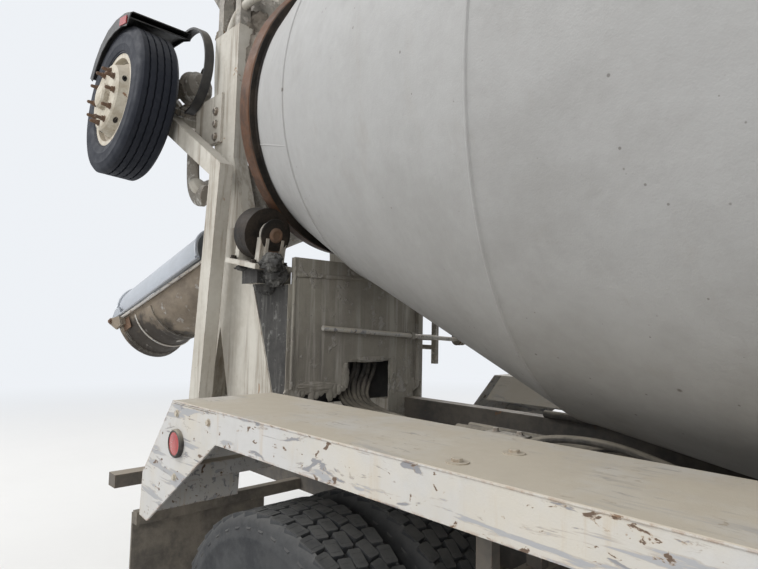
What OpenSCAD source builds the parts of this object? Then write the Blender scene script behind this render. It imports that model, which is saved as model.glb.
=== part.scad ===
// Rear-discharge concrete mixer truck with a raised trailing booster axle.
// Millimetres. +X points to the front bumper, +Y to the truck's left, +Z up, the floor is Z = 0.
// Lengths along X are first measured from the rear tandem axle; on_axle() moves them to the part's middle.

/* [Wheels] */
// From the part's middle back to the rear tandem axle
middle_to_axle = 1777.5; // [1600:0.5:2100]
// From the rear tandem axle to the front tandem axle
tandem_spread = 1370; // [1300:10:1450]
// From the rear tandem axle to the steering axle
wheelbase = 5900; // [5700:10:6100]
// Tandem tyre radius
rear_tyre_r = 522; // [500:1:530]
// Tandem tyre width
rear_tyre_w = 279; // [260:1:290]
// Distance between the two tyres of a pair, middle to middle
dual_spacing = 330; // [320:1:345]
// Middle of a pair of tyres, from the truck's middle plane
dual_y = 915; // [905:1:930]
// Steering tyre radius
front_tyre_r = 560; // [530:1:565]
// Steering tyre width
front_tyre_w = 420; // [380:1:430]
// Middle of a steering tyre, from the truck's middle plane
front_y = 1020; // [1010:1:1030]
// Booster tyre radius
booster_tyre_r = 478; // [460:1:485]
// Booster tyre width
booster_tyre_w = 262; // [240:1:270]
// Bead seat radius of every rim
rim_r = 286; // [280:1:290]
// Kingpin, from the truck's middle plane
kingpin_y = 850; // [845:1:860]
// Kingpin radius
kingpin_r = 22; // [18:1:26]

/* [Frame] */
// Top of the frame rails above the floor
rail_top = 1055; // [1040:1:1060]
// Depth of a frame rail
rail_h = 270; // [260:1:275]
// Outer face of a frame rail, from the truck's middle plane
rail_y = 430; // [425:1:432]
// Flange width of a frame rail
flange_w = 80; // [70:1:85]
// Thickness of a frame rail
rail_t = 10; // [8:1:12]
// Rear end of the rails behind the rear axle
rail_back = 1950; // [1945:1:1990]
// Front end of the rails ahead of the rear axle
rail_front = 6760; // [6740:1:6770]
// Back face of the bumper ahead of the rear axle
bumper_x = 6880; // [6875:1:6885]
// Length of a crossmember along the truck
cross_w = 80; // [60:1:90]

/* [Cab] */
// Back wall of the cab ahead of the rear axle
cab_x = 4080; // [4060:1:4100]
// Underside of the cab floor
cab_z = 1130; // [1120:1:1140]
// Half width of the cab
cab_y = 1000; // [990:1:1010]
// Thickness of the cab's walls and doors
cab_wall = 45; // [40:1:50]
// Gap round a door
door_gap = 6; // [5:0.5:8]
// Radius of a door hinge barrel
hinge_r = 12; // [10:1:14]
// Thickness of the glass
glass_t = 8; // [6:1:10]

/* [Hood] */
// Thickness of the hood's skin
hood_wall = 12; // [8:1:14]
// Half width of the hood between its fenders
hood_y = 560; // [545:1:570]
// Outer face of the hood's fenders
hood_fender_y = 1240; // [1235:1:1245]
// Radius of the front wheel arch
arch_r = 720; // [710:1:730]
// Radius of the hood's hinge pins
hood_pin_r = 14; // [12:1:16]

/* [Tandem fenders] */
// Top of the tandem fenders
fender_top = 1310; // [1300:1:1320]
// Outer face of the tandem fenders
fender_y = 1226; // [1222:1:1230]
// Inner edge of the fenders' flat top
fender_in = 800; // [780:1:820]
// Sheet thickness of the fenders
fender_t = 8; // [5:1:10]

/* [Drum] */
// Tilt of the drum's axis, front end down
drum_tilt = 10.24; // [9:0.01:11]
// Height of the drum's axis at the front edge of its ring
drum_z = 2744; // [2735:1:2755]
// Distance of that point behind the rear axle
drum_back = 952; // [945:1:960]
// Drum radius at the front edge of its ring
ring_seat_r = 719; // [710:1:725]
// Drum radius at its widest
drum_r = 1207; // [1195:1:1212]
// Wall of the drum
drum_wall = 12; // [8:1:14]
// Outer radius of the ring
ring_r = 760; // [755:1:765]
// Width of the ring
ring_w = 90; // [80:1:95]
// Radius of a support roller
roller_r = 135; // [128:1:138]
// Middle of a support roller, from the truck's middle plane
roller_y = 555; // [545:1:562]
// Radius of a roller's shaft
roller_shaft_r = 35; // [30:1:38]

/* [Rear pedestal] */
// Outer face of the rear posts
post_y = 500; // [495:1:505]
// Thickness of the rear posts across the truck
post_t = 90; // [80:1:95]
// Top of the rear posts
post_top = 3390; // [3380:1:3400]

/* [Chute] */
// Distance of the chute's swivel axis behind the rear axle
swivel_back = 2136; // [2125:1:2145]
// Height of the chute's lift hinge
lift_z = 1760; // [1750:1:1770]
// Swing of the parked chute to the right
chute_swing = 12; // [6:0.5:14]
// Slope of the parked chute
chute_slope = 25.5; // [22:0.5:26]
// Length of the main chute
chute_l = 1140; // [1100:1:1150]
// Radius of the main chute's upper end
chute_r1 = 200; // [190:1:205]
// Radius of the main chute's lower end
chute_r2 = 281; // [265:1:285]
// Depth of the main chute
chute_h = 305; // [295:1:310]
// Sheet thickness of the chutes
chute_t = 6; // [4:1:8]
// Radius of the swivel shaft
swivel_r = 50; // [45:1:54]

/* [Booster axle] */
// Distance of the booster's pivot behind the rear axle
boost_back = 1620; // [1610:1:1630]
// Height of the booster's pivot
boost_z = 980; // [970:1:990]
// Raised booster wheel behind the rear axle
boost_wheel_back = 2365; // [2355:1:2375]
// Height of the raised booster wheel
boost_wheel_z = 3006; // [3000:1:3015]
// Middle of a booster tyre, from the truck's middle plane
boost_wheel_y = 820; // [815:1:830]
// Tilt of the raised booster wheels about the truck's length
boost_tilt = 3.9; // [0:0.1:5]
// Inner face of a booster arm
arm_in = 580; // [575:1:590]
// Outer face of a booster arm
arm_out = 660; // [655:1:662]
// Radius of the booster's pivot tube
boost_pin_r = 50; // [45:1:55]

/* [Hidden] */

// Clearance of a pin in its bore, and of a running face
pin_gap = 0.3;
run_gap = 0.5;
// Round pieces are drawn with this many sides
$fn = 64;

// Colours
white = [0.80, 0.79, 0.74];
cream = [0.72, 0.69, 0.60];
steel = [0.42, 0.40, 0.37];
dark = [0.17, 0.17, 0.18];
black = [0.08, 0.08, 0.09];
rust = [0.36, 0.24, 0.17];
glass = [0.45, 0.55, 0.58];
tyre_black = [0.13, 0.13, 0.14];
dusty = [0.55, 0.53, 0.49];

// Placing
module on_axle() {
  translate([-middle_to_axle, 0, 0]) children();
}
// side = 1 is the left, side = -1 the right
module on_side(side) {
  if (side > 0) children();
  else mirror([0, 1, 0]) children();
}
module both_sides() {
  children();
  mirror([0, 1, 0]) children();
}
// A plate or box whose outline lies in the X-Z plane, from y0 to y1
module side_plate(y0, y1, points) {
  translate([0, y1, 0]) rotate([90, 0, 0]) linear_extrude(y1 - y0) polygon(points);
}
// A plate whose outline lies in the Y-Z plane, from x0 to x1
module cross_plate(x0, x1, points) {
  translate([x0, 0, 0]) rotate([90, 0, 90]) linear_extrude(x1 - x0) polygon(points);
}
// A box between two corners
module box(a, b) {
  translate(a) cube(b - a);
}
// A bar along Y from y0 to y1 through (x, z)
module bar_y(x, z, r, y0, y1) {
  translate([x, y0, z]) rotate([-90, 0, 0]) cylinder(r = r, h = y1 - y0);
}
// A bar along X from x0 to x1 through (y, z)
module bar_x(y, z, r, x0, x1) {
  translate([x0, y, z]) rotate([0, 90, 0]) cylinder(r = r, h = x1 - x0);
}
// A round bar between two points
module rod(a, b, r) {
  d = b - a;
  translate(a)
    rotate([0, acos(d[2] / norm(d)), atan2(d[1], d[0])])
      cylinder(r = r, h = norm(d));
}
// The drum's own frame: +X runs along its axis, forward and down, from the front edge of the ring
module on_drum() {
  translate([-drum_back, 0, drum_z]) rotate([0, drum_tilt, 0]) children();
}

// Frame
rail_low = rail_top - rail_h;
bar_back_x = -1430;
bar_back_z = 820;
bar_size = [80, 60];
// Crossmembers: [x, lower z, upper z]
crossmembers = [
  [-rail_back + cross_w, 825, 1005], [-1000, 850, 1005], [-120, 850, 1000], [685, 850, 1000],
  [tandem_spread + 260, 930, 1010], [3050, 930, 1010], [4030, 930, 1010],
  [5330, 790, 860], [6600, 790, 900]
];
hood_hinge_x = bumper_x - 10;
hood_hinge_z = 830;
hood_lug_y = 330;
hood_lug_t = 20;
hood_lug_r = 30;
tow_hole_r = 22;
module frame_rails() on_axle() color(dark) difference() {
  union() {
    both_sides() {
      cross_plate(-rail_back, rail_front, [
        [rail_y, rail_low], [rail_y, rail_top], [rail_y - flange_w, rail_top],
        [rail_y - flange_w, rail_top - rail_t], [rail_y - rail_t, rail_top - rail_t],
        [rail_y - rail_t, rail_low + rail_t], [rail_y - flange_w, rail_low + rail_t],
        [rail_y - flange_w, rail_low]
      ]);
      // Hood hinge lug on the rail's end
      side_plate(hood_lug_y, hood_lug_y + hood_lug_t, [
        [rail_front - 60, rail_low + 5], [hood_hinge_x, rail_low + 5],
        [hood_hinge_x + 25, hood_hinge_z - 10], [hood_hinge_x, hood_hinge_z + hood_lug_r - 5],
        [hood_hinge_x - 25, hood_hinge_z], [rail_front - 60, rail_low + 60]
      ]);
      bar_y(hood_hinge_x, hood_hinge_z, hood_lug_r, hood_lug_y, hood_lug_y + hood_lug_t);
      box([rail_front - 60, hood_lug_y, rail_low], [rail_front, rail_y, rail_low + 30]);
      // Collar that keeps a booster arm on the pivot tube
      bar_y(-boost_back, boost_z, boost_pin_r + 22, arm_out + 3, arm_out + 28);
      bar_y(-boost_back, boost_z, boost_pin_r + 22, rail_y - 5, arm_in - 3);
      // Rear tow plate
      side_plate(rail_y - 60, rail_y - 30, [
        [-rail_back - 90, rail_low + 20], [-rail_back + 40, rail_low + 20],
        [-rail_back + 40, rail_low + 120], [-rail_back - 60, rail_low + 120],
        [-rail_back - 90, rail_low + 90]
      ]);
    }
    // Subframe that the drum's pedestals stand on, and the struts of the fenders' middle
    both_sides() {
      side_plate(rail_y - flange_w, rail_y, [
        [-935, rail_top], [2820, rail_top], [2820, rail_top + 40], [1000, rail_top + 40],
        [800, rail_top + 120], [-935, rail_top + 120]
      ]);
      box([tandem_spread / 2 - 30, rail_y - 5, 990], [tandem_spread / 2 + 30, 1175, 1040]);
      for (y = [900, 1100])
        box([tandem_spread / 2 - 20, y - 15, 1035], [tandem_spread / 2 + 20, y + 15, fender_top - fender_t]);
    }
    for (c = crossmembers)
      box([c[0] - cross_w / 2, -rail_y + rail_t / 2, c[1]], [c[0] + cross_w / 2, rail_y - rail_t / 2, c[2]]);
    bar_y(-boost_back, boost_z, boost_pin_r, -arm_out - 28, arm_out + 28);
    box([bar_back_x, -1150, bar_back_z], [bar_back_x + bar_size[0], 1150, bar_back_z + bar_size[1]]);
  }
  both_sides() {
    bar_y(hood_hinge_x, hood_hinge_z, hood_pin_r + pin_gap, hood_lug_y - 1, hood_lug_y + hood_lug_t + 1);
    bar_y(-rail_back - 45, rail_low + 70, tow_hole_r, rail_y - 61, rail_y - 29);
  }
}

// Steering axle with its leaf springs
kingpin_z = front_tyre_r - 45;
spring_span = 1300;
spring_sag = 160;
spring_t = 45;
spring_w = 70;
spring_r = spring_span * spring_span / 8 / spring_sag + spring_sag / 2;
spring_z = kingpin_z - 15;
eye_z = spring_z + spring_sag;
beam_eye_h = 90;
module front_axle() on_axle() color(dark) translate([wheelbase, 0, 0]) {
  difference() {
    union() {
      cross_plate(-55, 55, [
        [-kingpin_y, kingpin_z - 45], [-720, kingpin_z - 45], [-600, spring_z - 100],
        [600, spring_z - 100], [720, kingpin_z - 45], [kingpin_y, kingpin_z - 45],
        [kingpin_y, kingpin_z + 45], [700, kingpin_z + 45], [580, spring_z], [-580, spring_z],
        [-700, kingpin_z + 45], [-kingpin_y, kingpin_z + 45]
      ]);
      both_sides() {
        translate([0, kingpin_y, kingpin_z - 45]) cylinder(r = 48, h = beam_eye_h);
        translate([0, rail_y - 5 - spring_w, 0]) intersection() {
          translate([0, 0, spring_z + spring_r]) rotate([-90, 0, 0]) difference() {
            cylinder(r = spring_r, h = spring_w, $fn = 128);
            translate([0, 0, -1]) cylinder(r = spring_r - spring_t, h = spring_w + 2, $fn = 128);
          }
          box([-spring_span / 2, -1, spring_z - 5], [spring_span / 2, spring_w + 1, eye_z + 60]);
        }
        for (end = [-1, 1]) {
          bar_y(end * spring_span / 2, eye_z + 20, 34, rail_y - 5 - spring_w, rail_y - 5);
          box([end * spring_span / 2 - 30, rail_y - 5 - spring_w, eye_z + 20],
              [end * spring_span / 2 + 30, rail_y - 5, rail_low]);
        }
        box([-90, rail_y - 10 - spring_w, spring_z - 20], [90, rail_y, spring_z + spring_t + 20]);
      }
    }
    both_sides() {
      translate([0, kingpin_y, kingpin_z - 50]) cylinder(r = kingpin_r + pin_gap, h = 100);
      // Side pockets of the axle's I section
      for (face = [-1, 1])
        translate([face * 55, 0, spring_z - 50]) cube([70, 1040, 50], center = true);
    }
  }
}

// Tandem axles, joined by their drive shafts
axle_tube_r = 75;
axle_end_y = 640;
pinion_z = rear_tyre_r + 40;
gearbox_z = 850;
gearbox_x = 4300;
module axle_housing() {
  bar_y(0, rear_tyre_r, axle_tube_r, -axle_end_y, axle_end_y);
  translate([0, 0, rear_tyre_r]) sphere(r = 205);
  bar_y(0, rear_tyre_r, 120, -260, 260);
  bar_x(0, pinion_z, 95, 0, 310);
  both_sides() bar_y(0, rear_tyre_r, 110, axle_end_y - 60, axle_end_y - 30);
}
module rear_axles() on_axle() color(dark) {
  for (x = [0, tandem_spread]) translate([x, 0, 0]) axle_housing();
  bar_x(0, pinion_z, 48, 300, tandem_spread - 150);
  rod([tandem_spread + 330, 0, pinion_z], [gearbox_x - 70, 0, gearbox_z], 50);
  bar_x(0, pinion_z, 70, tandem_spread + 300, tandem_spread + 370);
  bar_x(0, gearbox_z, 66, gearbox_x - 110, gearbox_x);
}

// Walking beams and their saddles
beam_y0 = 470;
beam_y1 = 570;
beam_x = tandem_spread / 2;
module walking_beams() on_axle() color(dark) difference() {
  union() {
    both_sides() {
      side_plate(beam_y0, beam_y1, [
        [-70, 340], [beam_x - 200, 300], [beam_x + 200, 300], [tandem_spread + 70, 340],
        [tandem_spread + 70, rear_tyre_r - 50], [tandem_spread - 70, rear_tyre_r - 50],
        [beam_x + 160, 480], [beam_x - 160, 480], [70, rear_tyre_r - 50], [-70, rear_tyre_r - 50]
      ]);
      side_plate(beam_y0, beam_y1, [
        [beam_x - 120, 470], [beam_x + 120, 470], [beam_x + 60, rail_low], [beam_x + 210, rail_low],
        [beam_x + 210, rail_low + 40], [beam_x - 210, rail_low + 40], [beam_x - 210, rail_low],
        [beam_x - 60, rail_low]
      ]);
      side_plate(rail_y, beam_y0, [
        [beam_x - 210, rail_low], [beam_x + 210, rail_low],
        [beam_x + 210, rail_low + 200], [beam_x - 210, rail_low + 200]
      ]);
    }
    bar_y(beam_x, 390, 45, -beam_y0, beam_y0);
  }
  for (x = [0, tandem_spread]) bar_y(x, rear_tyre_r, axle_tube_r, -beam_y1 - 1, beam_y1 + 1);
}

// Engine with its gearbox, one plain block, and the radiator
engine_y = 330;
module engine() on_axle() color(steel) {
  difference() {
    union() {
      box([5290, -engine_y, crossmembers[7][2]], [6480, engine_y, 1500]);
      box([gearbox_x, -230, 690], [5300, 230, 1060]);
      box([5420, -200, 700], [6300, 200, crossmembers[7][2] + 5]);
    }
    translate([5330, 0, 825]) cube([cross_w, 2 * engine_y, crossmembers[7][2] * 2 - 1650], center = true);
  }
  box([6560, -340, crossmembers[8][2]], [6640, 340, rail_top + 1]);
  box([6560, -430, rail_top], [6640, 430, 1520]);
}

// Front bumper with two tow eyes
bumper_z0 = 480;
bumper_z1 = 790;
bumper_d = 100;
module front_bumper() on_axle() color(white) difference() {
  union() {
    linear_z(bumper_z0, bumper_z1) polygon([
      [bumper_x, -1000], [bumper_x - 90, -1180], [bumper_x - 20, -1190],
      [bumper_x + bumper_d, -980], [bumper_x + bumper_d, 980], [bumper_x - 20, 1190],
      [bumper_x - 90, 1180], [bumper_x, 1000]
    ]);
    both_sides() box([bumper_x - 320, rail_y, rail_low - 60], [bumper_x + 5, rail_y + 20, rail_low + 15]);
  }
  both_sides() bar_x(650, 600, tow_hole_r, bumper_x - 10, bumper_x + bumper_d + 1);
  translate([bumper_x + bumper_d, 0, (bumper_z0 + bumper_z1) / 2]) cube([30, 900, 120], center = true);
}
module linear_z(z0, z1) {
  translate([0, 0, z0]) linear_extrude(z1 - z0) children();
}

// Cab
cab_front = 5260;
cab_top = 2750;
cowl_z = 1790;
glass_foot = [cab_front - 25, 1850];
glass_head = [5010, cab_top - 60];
door_front = 5120;
door_back = cab_x + 160;
door_sill = cab_z + 60;
door_bend = 1880;
door_top = 2600;
door_top_front = 4935;
hinge_x = door_front - 8;
hinge_y = cab_y + 14;
door_pin_r = 6;
// Outline of a door, drawn in by g on each side
function door_outline(g) = [
  [door_back + g, door_sill + g], [door_front - g, door_sill + g], [door_front - g, door_bend],
  [door_top_front - g, door_top - g], [door_back + g, door_top - g]
];
door_window = [
  [door_back + 80, door_bend + 20], [door_front - 85, door_bend + 20],
  [door_top_front - 55, door_top - 70], [door_back + 80, door_top - 70]
];
module cab_outline(t) {
  polygon([
    [cab_x + t, cab_z + t], [cab_x + t, 2640 - t / 2], [cab_x + 60 + t / 2, 2700 - t],
    [4500, cab_top - t], [4900 - t / 3, 2735 - t], [glass_head[0] - t, glass_head[1] - t / 2],
    [glass_foot[0] - t, glass_foot[1]], [cab_front - t, cowl_z - t / 4], [cab_front - t, cab_z + t]
  ]);
}
// The windscreen's plane: a unit vector down it and one out of it
glass_run = (glass_foot - glass_head) / norm(glass_foot - glass_head);
glass_out = [-glass_run[1], glass_run[0]];
glass_a = glass_head + 60 * glass_run;
glass_b = glass_foot - 60 * glass_run;
windscreen_y = 890;
rear_window = [600, 2000, 2480];
module windscreen_cut(out, back, half, short = 0) {
  a = glass_a + short * glass_run;
  b = glass_b - short * glass_run;
  side_plate(-half, half, [a + out * glass_out, b + out * glass_out, b - back * glass_out, a - back * glass_out]);
}
module cab_shell() on_axle() color(white) difference() {
  union() {
    translate([0, cab_y, 0]) rotate([90, 0, 0]) linear_extrude(2 * cab_y) cab_outline(0);
    both_sides() for (x = [cab_x + 70, cab_front - 130])
      box([x, rail_y - flange_w, rail_top], [x + 90, rail_y, cab_z + 5]);
    // Fixed halves of the door hinges
    both_sides() for (z = [door_sill + 160, door_bend - 120])
      hinge_half(z - 30, 29);
  }
  translate([0, cab_y - cab_wall, 0]) rotate([90, 0, 0])
    linear_extrude(2 * (cab_y - cab_wall)) cab_outline(cab_wall);
  windscreen_cut(100, 120, windscreen_y);
  box([cab_x - 1, -rear_window[0], rear_window[1]], [cab_x + cab_wall + 1, rear_window[0], rear_window[2]]);
  both_sides() side_plate(cab_y - cab_wall - 1, cab_y + 1, door_outline(0));
}
// A hinge barrel at height z with the leaf that carries it forward to the cab
module hinge_half(z, h) difference() {
  union() {
    translate([hinge_x, hinge_y, z]) cylinder(r = hinge_r, h = h);
    box([hinge_x, hinge_y - 4, z], [hinge_x + 50, hinge_y + 4, z + h]);
    box([hinge_x + 20, cab_y, z], [hinge_x + 50, hinge_y + 4, z + h]);
  }
  translate([hinge_x, hinge_y, z - 1]) cylinder(r = door_pin_r + pin_gap, h = h + 2);
}
module cab_glass() on_axle() color(glass) {
  windscreen_cut(-10, 10 + glass_t, windscreen_y, 0.1);
  box([cab_x + 15, -rear_window[0], rear_window[1]], [cab_x + 15 + glass_t, rear_window[0], rear_window[2]]);
}
seat_y = 470;
wheel_x = 4920;
wheel_z = 1760;
wheel_r = 200;
module cab_interior() on_axle() color(black) {
  both_sides() translate([0, seat_y, 0]) {
    box([4330, -160, cab_z + cab_wall], [4700, 160, 1480]);
    box([4270, -250, 1480], [4790, 250, 1610]);
    side_plate(-240, 240, [[4270, 1605], [4400, 1605], [4310, 2330], [4210, 2330]]);
  }
  side_plate(-cab_y + cab_wall + 10, cab_y - cab_wall - 10, [
    [cab_front - cab_wall, 1380], [cab_front - cab_wall, cowl_z - 20], [5040, cowl_z - 60], [5010, 1600], [5120, 1400]
  ]);
  rod([wheel_x + 170, seat_y, wheel_z - 85], [wheel_x, seat_y, wheel_z], 28);
  translate([wheel_x, seat_y, wheel_z]) rotate([0, -63.4, 0]) {
    rotate_extrude() translate([wheel_r, 0]) circle(r = 16);
    cylinder(r = 60, h = 20);
    for (a = [0, 120, 240]) rotate([0, 0, a]) translate([0, -15, 0]) cube([wheel_r - 2, 30, 12]);
  }
}
mirror_x = 5160;
mirror_y = 1250;
module mirrors() on_axle() color(dark) both_sides() {
  for (foot = [[5180, 1850], [5035, 2400]]) {
    bar_y(foot[0], foot[1], 20, cab_y, cab_y + 16);
    rod([foot[0], cab_y + 10, foot[1]], [mirror_x, mirror_y, foot[1] + 40], 14);
  }
  translate([mirror_x, mirror_y, 1860]) cylinder(r = 17, h = 610);
  translate([mirror_x - 45, mirror_y - 80, 1960]) linear_extrude(400)
    polygon([[0, 0], [0, 170], [50, 160], [90, 110], [90, 50], [50, 5]]);
}

// Doors
module door() {
  difference() {
    union() {
      side_plate(cab_y - cab_wall, cab_y, door_outline(door_gap));
      for (z = [door_sill + 160, door_bend - 120]) {
        translate([hinge_x, hinge_y, z]) cylinder(r = hinge_r, h = 60);
        translate([hinge_x, hinge_y, z - 28]) cylinder(r = door_pin_r, h = 30);
        box([hinge_x - 60, cab_y - 1, z], [hinge_x - 20, hinge_y + 4, z + 60]);
        box([hinge_x - 60, hinge_y - 4, z], [hinge_x, hinge_y + 4, z + 60]);
      }
      // Handle
      box([door_back + 60, cab_y - 1, door_bend - 130], [door_back + 220, cab_y + 25, door_bend - 90]);
    }
    side_plate(cab_y - cab_wall - 1, cab_y + 1, door_window);
  }
}
module door_left() on_axle() color(white) door();
module door_right() on_axle() color(white) on_side(-1) door();
module door_glass() side_plate(cab_y - 30, cab_y - 30 + glass_t, door_window);
module door_glass_left() on_axle() color(glass) door_glass();
module door_glass_right() on_axle() color(glass) on_side(-1) door_glass();

// Hood with its fenders, one moulding that tilts forward
hood_back = cab_front + 15;
hood_nose = bumper_x + 10;
grille_y = 400;
grille_z = [880, 1470];
lamp_y = 880;
lamp_z = 960;
lamp_r = 105;
fender_nose = 6800;
module hood_side(t) {
  polygon([
    [hood_back - 2 * t, 1200 - 4 * t], [hood_back - 2 * t, cowl_z - t], [5600, 1770 - t], [6500, 1680 - t],
    [6800 - t / 2, 1600 - t], [hood_nose - 10 - t, 1500 - t / 2], [hood_nose - t, 845 - 10 * t],
    [6640 - 5 * t, 845 - 10 * t], [6640 - 5 * t, 1200 - 4 * t]
  ]);
}
module fender_side(t) {
  polygon([
    [hood_back + t, 900 - 40 * t], [hood_back + t, 1300 - t], [5500, 1345 - t], [5900, 1360 - t],
    [6300, 1330 - t], [6650 - t / 2, 1220 - t], [fender_nose - t, 1090 - t / 2],
    [fender_nose - t, 850 - 40 * t]
  ]);
}
module hood() on_axle() color(white) difference() {
  union() {
    difference() {
      translate([0, hood_y, 0]) rotate([90, 0, 0]) linear_extrude(2 * hood_y) hood_side(0);
      translate([0, hood_y - hood_wall, 0]) rotate([90, 0, 0])
        linear_extrude(2 * (hood_y - hood_wall)) hood_side(hood_wall);
      both_sides() bar_y(hood_hinge_x, hood_hinge_z, hood_lug_r + 6, hood_lug_y - 6, hood_lug_y + hood_lug_t + 6);
    }
    both_sides() difference() {
      translate([0, hood_fender_y, 0]) rotate([90, 0, 0])
        linear_extrude(hood_fender_y - hood_y + hood_wall) fender_side(0);
      translate([0, hood_fender_y - hood_wall, 0]) rotate([90, 0, 0])
        linear_extrude(hood_fender_y - hood_y - hood_wall) fender_side(hood_wall);
    }
    // Front crossbar with the cheeks and pins of the hood's hinge
    box([hood_nose - 40, -hood_y + 5, hood_hinge_z + 40], [hood_nose - 5, hood_y - 5, hood_hinge_z + 75]);
    both_sides() {
      for (y = [hood_lug_y - 28, hood_lug_y + hood_lug_t + 3])
        side_plate(y, y + 25, [
          [hood_hinge_x - 22, hood_hinge_z - 22], [hood_hinge_x + 18, hood_hinge_z - 22],
          [hood_hinge_x + 14, hood_hinge_z + 50], [hood_hinge_x - 20, hood_hinge_z + 50]
        ]);
      bar_y(hood_hinge_x, hood_hinge_z, hood_pin_r, hood_lug_y - 28, hood_lug_y + hood_lug_t + 28);
    }
  }
  both_sides() translate([0, hood_y - hood_wall - 30, 0])
    bar_y(wheelbase, front_tyre_r, arch_r, 0, hood_fender_y - hood_y + 60);
  box([hood_nose - 60, -grille_y, grille_z[0] + 30], [hood_nose + 5, grille_y, grille_z[1]]);
  both_sides() bar_x(lamp_y, lamp_z, lamp_r, fender_nose - 60, fender_nose + 5);
  both_sides() box([hood_nose - 60, hood_y - hood_wall - 1, 700], [hood_nose + 5, hood_y + 60, 844]);
}
module grille() on_axle() color(steel) difference() {
  box([hood_nose - 34, -grille_y, grille_z[0] + 30], [hood_nose + 4, grille_y, grille_z[1]]);
  for (i = [0:10])
    box([hood_nose - 40, -grille_y + 25, grille_z[0] + 56 + i * 49],
        [hood_nose + 10, grille_y - 25, grille_z[0] + 92 + i * 49]);
}
module headlamps() on_axle() color(glass) both_sides() {
  bar_x(lamp_y, lamp_z, lamp_r, fender_nose - 70, fender_nose + 6);
  translate([fender_nose + 5, lamp_y, lamp_z]) rotate([0, 90, 0])
    cylinder(r1 = lamp_r - 5, r2 = lamp_r - 50, h = 22);
}

// Tanks: the fuel tank on the left rail and the water tank behind the cab
fuel_y = 880;
fuel_z = 800;
fuel_r = 290;
water_x = 3720;
water_z = 1460;
water_r = 230;
module tanks() on_axle() color(steel) {
  bar_x(fuel_y, fuel_z, fuel_r, 4150, 5040);
  for (x = [4260, 4860]) {
    bar_x(fuel_y, fuel_z, fuel_r + 8, x, x + 60);
    box([x, rail_y, fuel_z - 60], [x + 60, fuel_y, fuel_z + 60]);
  }
  box([4200, 1050, 1020], [5000, 1180, 1050]);
  for (x = [4270, 4870]) box([x, 1080, 900], [x + 40, 1120, 1025]);
  bar_y(water_x, water_z, water_r, -740, 740);
  both_sides() {
    bar_y(water_x, water_z, water_r + 8, 360, 420);
    side_plate(355, 425, [
      [water_x - 170, rail_top], [water_x + 170, rail_top], [water_x + 190, water_z], [water_x - 190, water_z]
    ]);
  }
}
module step_box() on_axle() color(steel) on_side(-1) difference() {
  union() {
    box([4250, 620, 560], [4960, 1130, 1000]);
    box([4250, rail_y, 860], [4330, 625, 940]);
    box([4880, rail_y, 860], [4960, 625, 940]);
    box([4300, 1125, 600], [4910, 1180, 630]);
    box([4300, 1125, 900], [4910, 1180, 930]);
  }
  for (x = [4275, 4615]) box([x, 1115, 655], [x + 320, 1131, 880]);
}
stack_x = 3970;
stack_y = 880;
module exhaust_stack() on_axle() color(steel) on_side(-1) {
  difference() {
    translate([stack_x, stack_y, 1180]) cylinder(r = 62, h = 1820);
    translate([stack_x, stack_y, 2400]) cylinder(r = 57, h = 601);
  }
  translate([stack_x, stack_y, 1450]) cylinder(r = 105, h = 850);
  for (z = [1560, 2160]) box([stack_x, stack_y - 40, z], [cab_x, stack_y + 40, z + 40]);
}

// Tandem fenders. Each end slopes down behind a side plate that carries its lamp
fender_mid = tandem_spread / 2;
fender_half = fender_mid + 600;
end_plate = [
  [-610, fender_top - 10], [-280, fender_top - 10], [-280, fender_top - 106], [-790, 836],
  [-860, 843], [-849, 1006]
];
lamp_back = [551, 1166];
strut_x = [-760, 2070];
module fender_end() {
  side_plate(fender_y - fender_t, fender_y, end_plate);
  side_plate(fender_in, fender_y - 1, [
    [-610, fender_top], [-600, fender_top - fender_t - 2], [-841, 1006], [-852, 843],
    [-860, 843], [-849, 1010]
  ]);
}
module tandem_fenders() on_axle() color(white) both_sides() {
  box([fender_mid - fender_half - 10, fender_in, fender_top - fender_t],
      [fender_mid + fender_half + 10, fender_y, fender_top]);
  box([-280, fender_y - fender_t, fender_top - 106],
      [tandem_spread + 280, fender_y, fender_top]);
  fender_end();
  translate([tandem_spread, 0, 0]) mirror([1, 0, 0]) fender_end();
  // Inner face, sloping in and down
  cross_plate(fender_mid - fender_half + 40, fender_mid + fender_half - 40, [
    [fender_in + 1, fender_top], [fender_in + 1, fender_top - fender_t - 2],
    [650, 1175], [645, 1182]
  ]);
  // Struts from the rail
  for (x = strut_x)
    box([x, rail_y, 980], [x + 60, fender_y - fender_t / 2, 1040]);
}

// Mud flaps on their bracket bars
flap_x = -945;
module mud_flaps() on_axle() color(black) both_sides() {
  box([flap_x, 610, 300], [flap_x + 12, 1222, 830]);
  box([flap_x + 12, rail_y, 790], [flap_x + 52, 1222, 840]);
  for (y = [650, 910, 1170]) box([flap_x - 14, y, 770], [flap_x + 20, y + 30, 830]);
}

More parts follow.
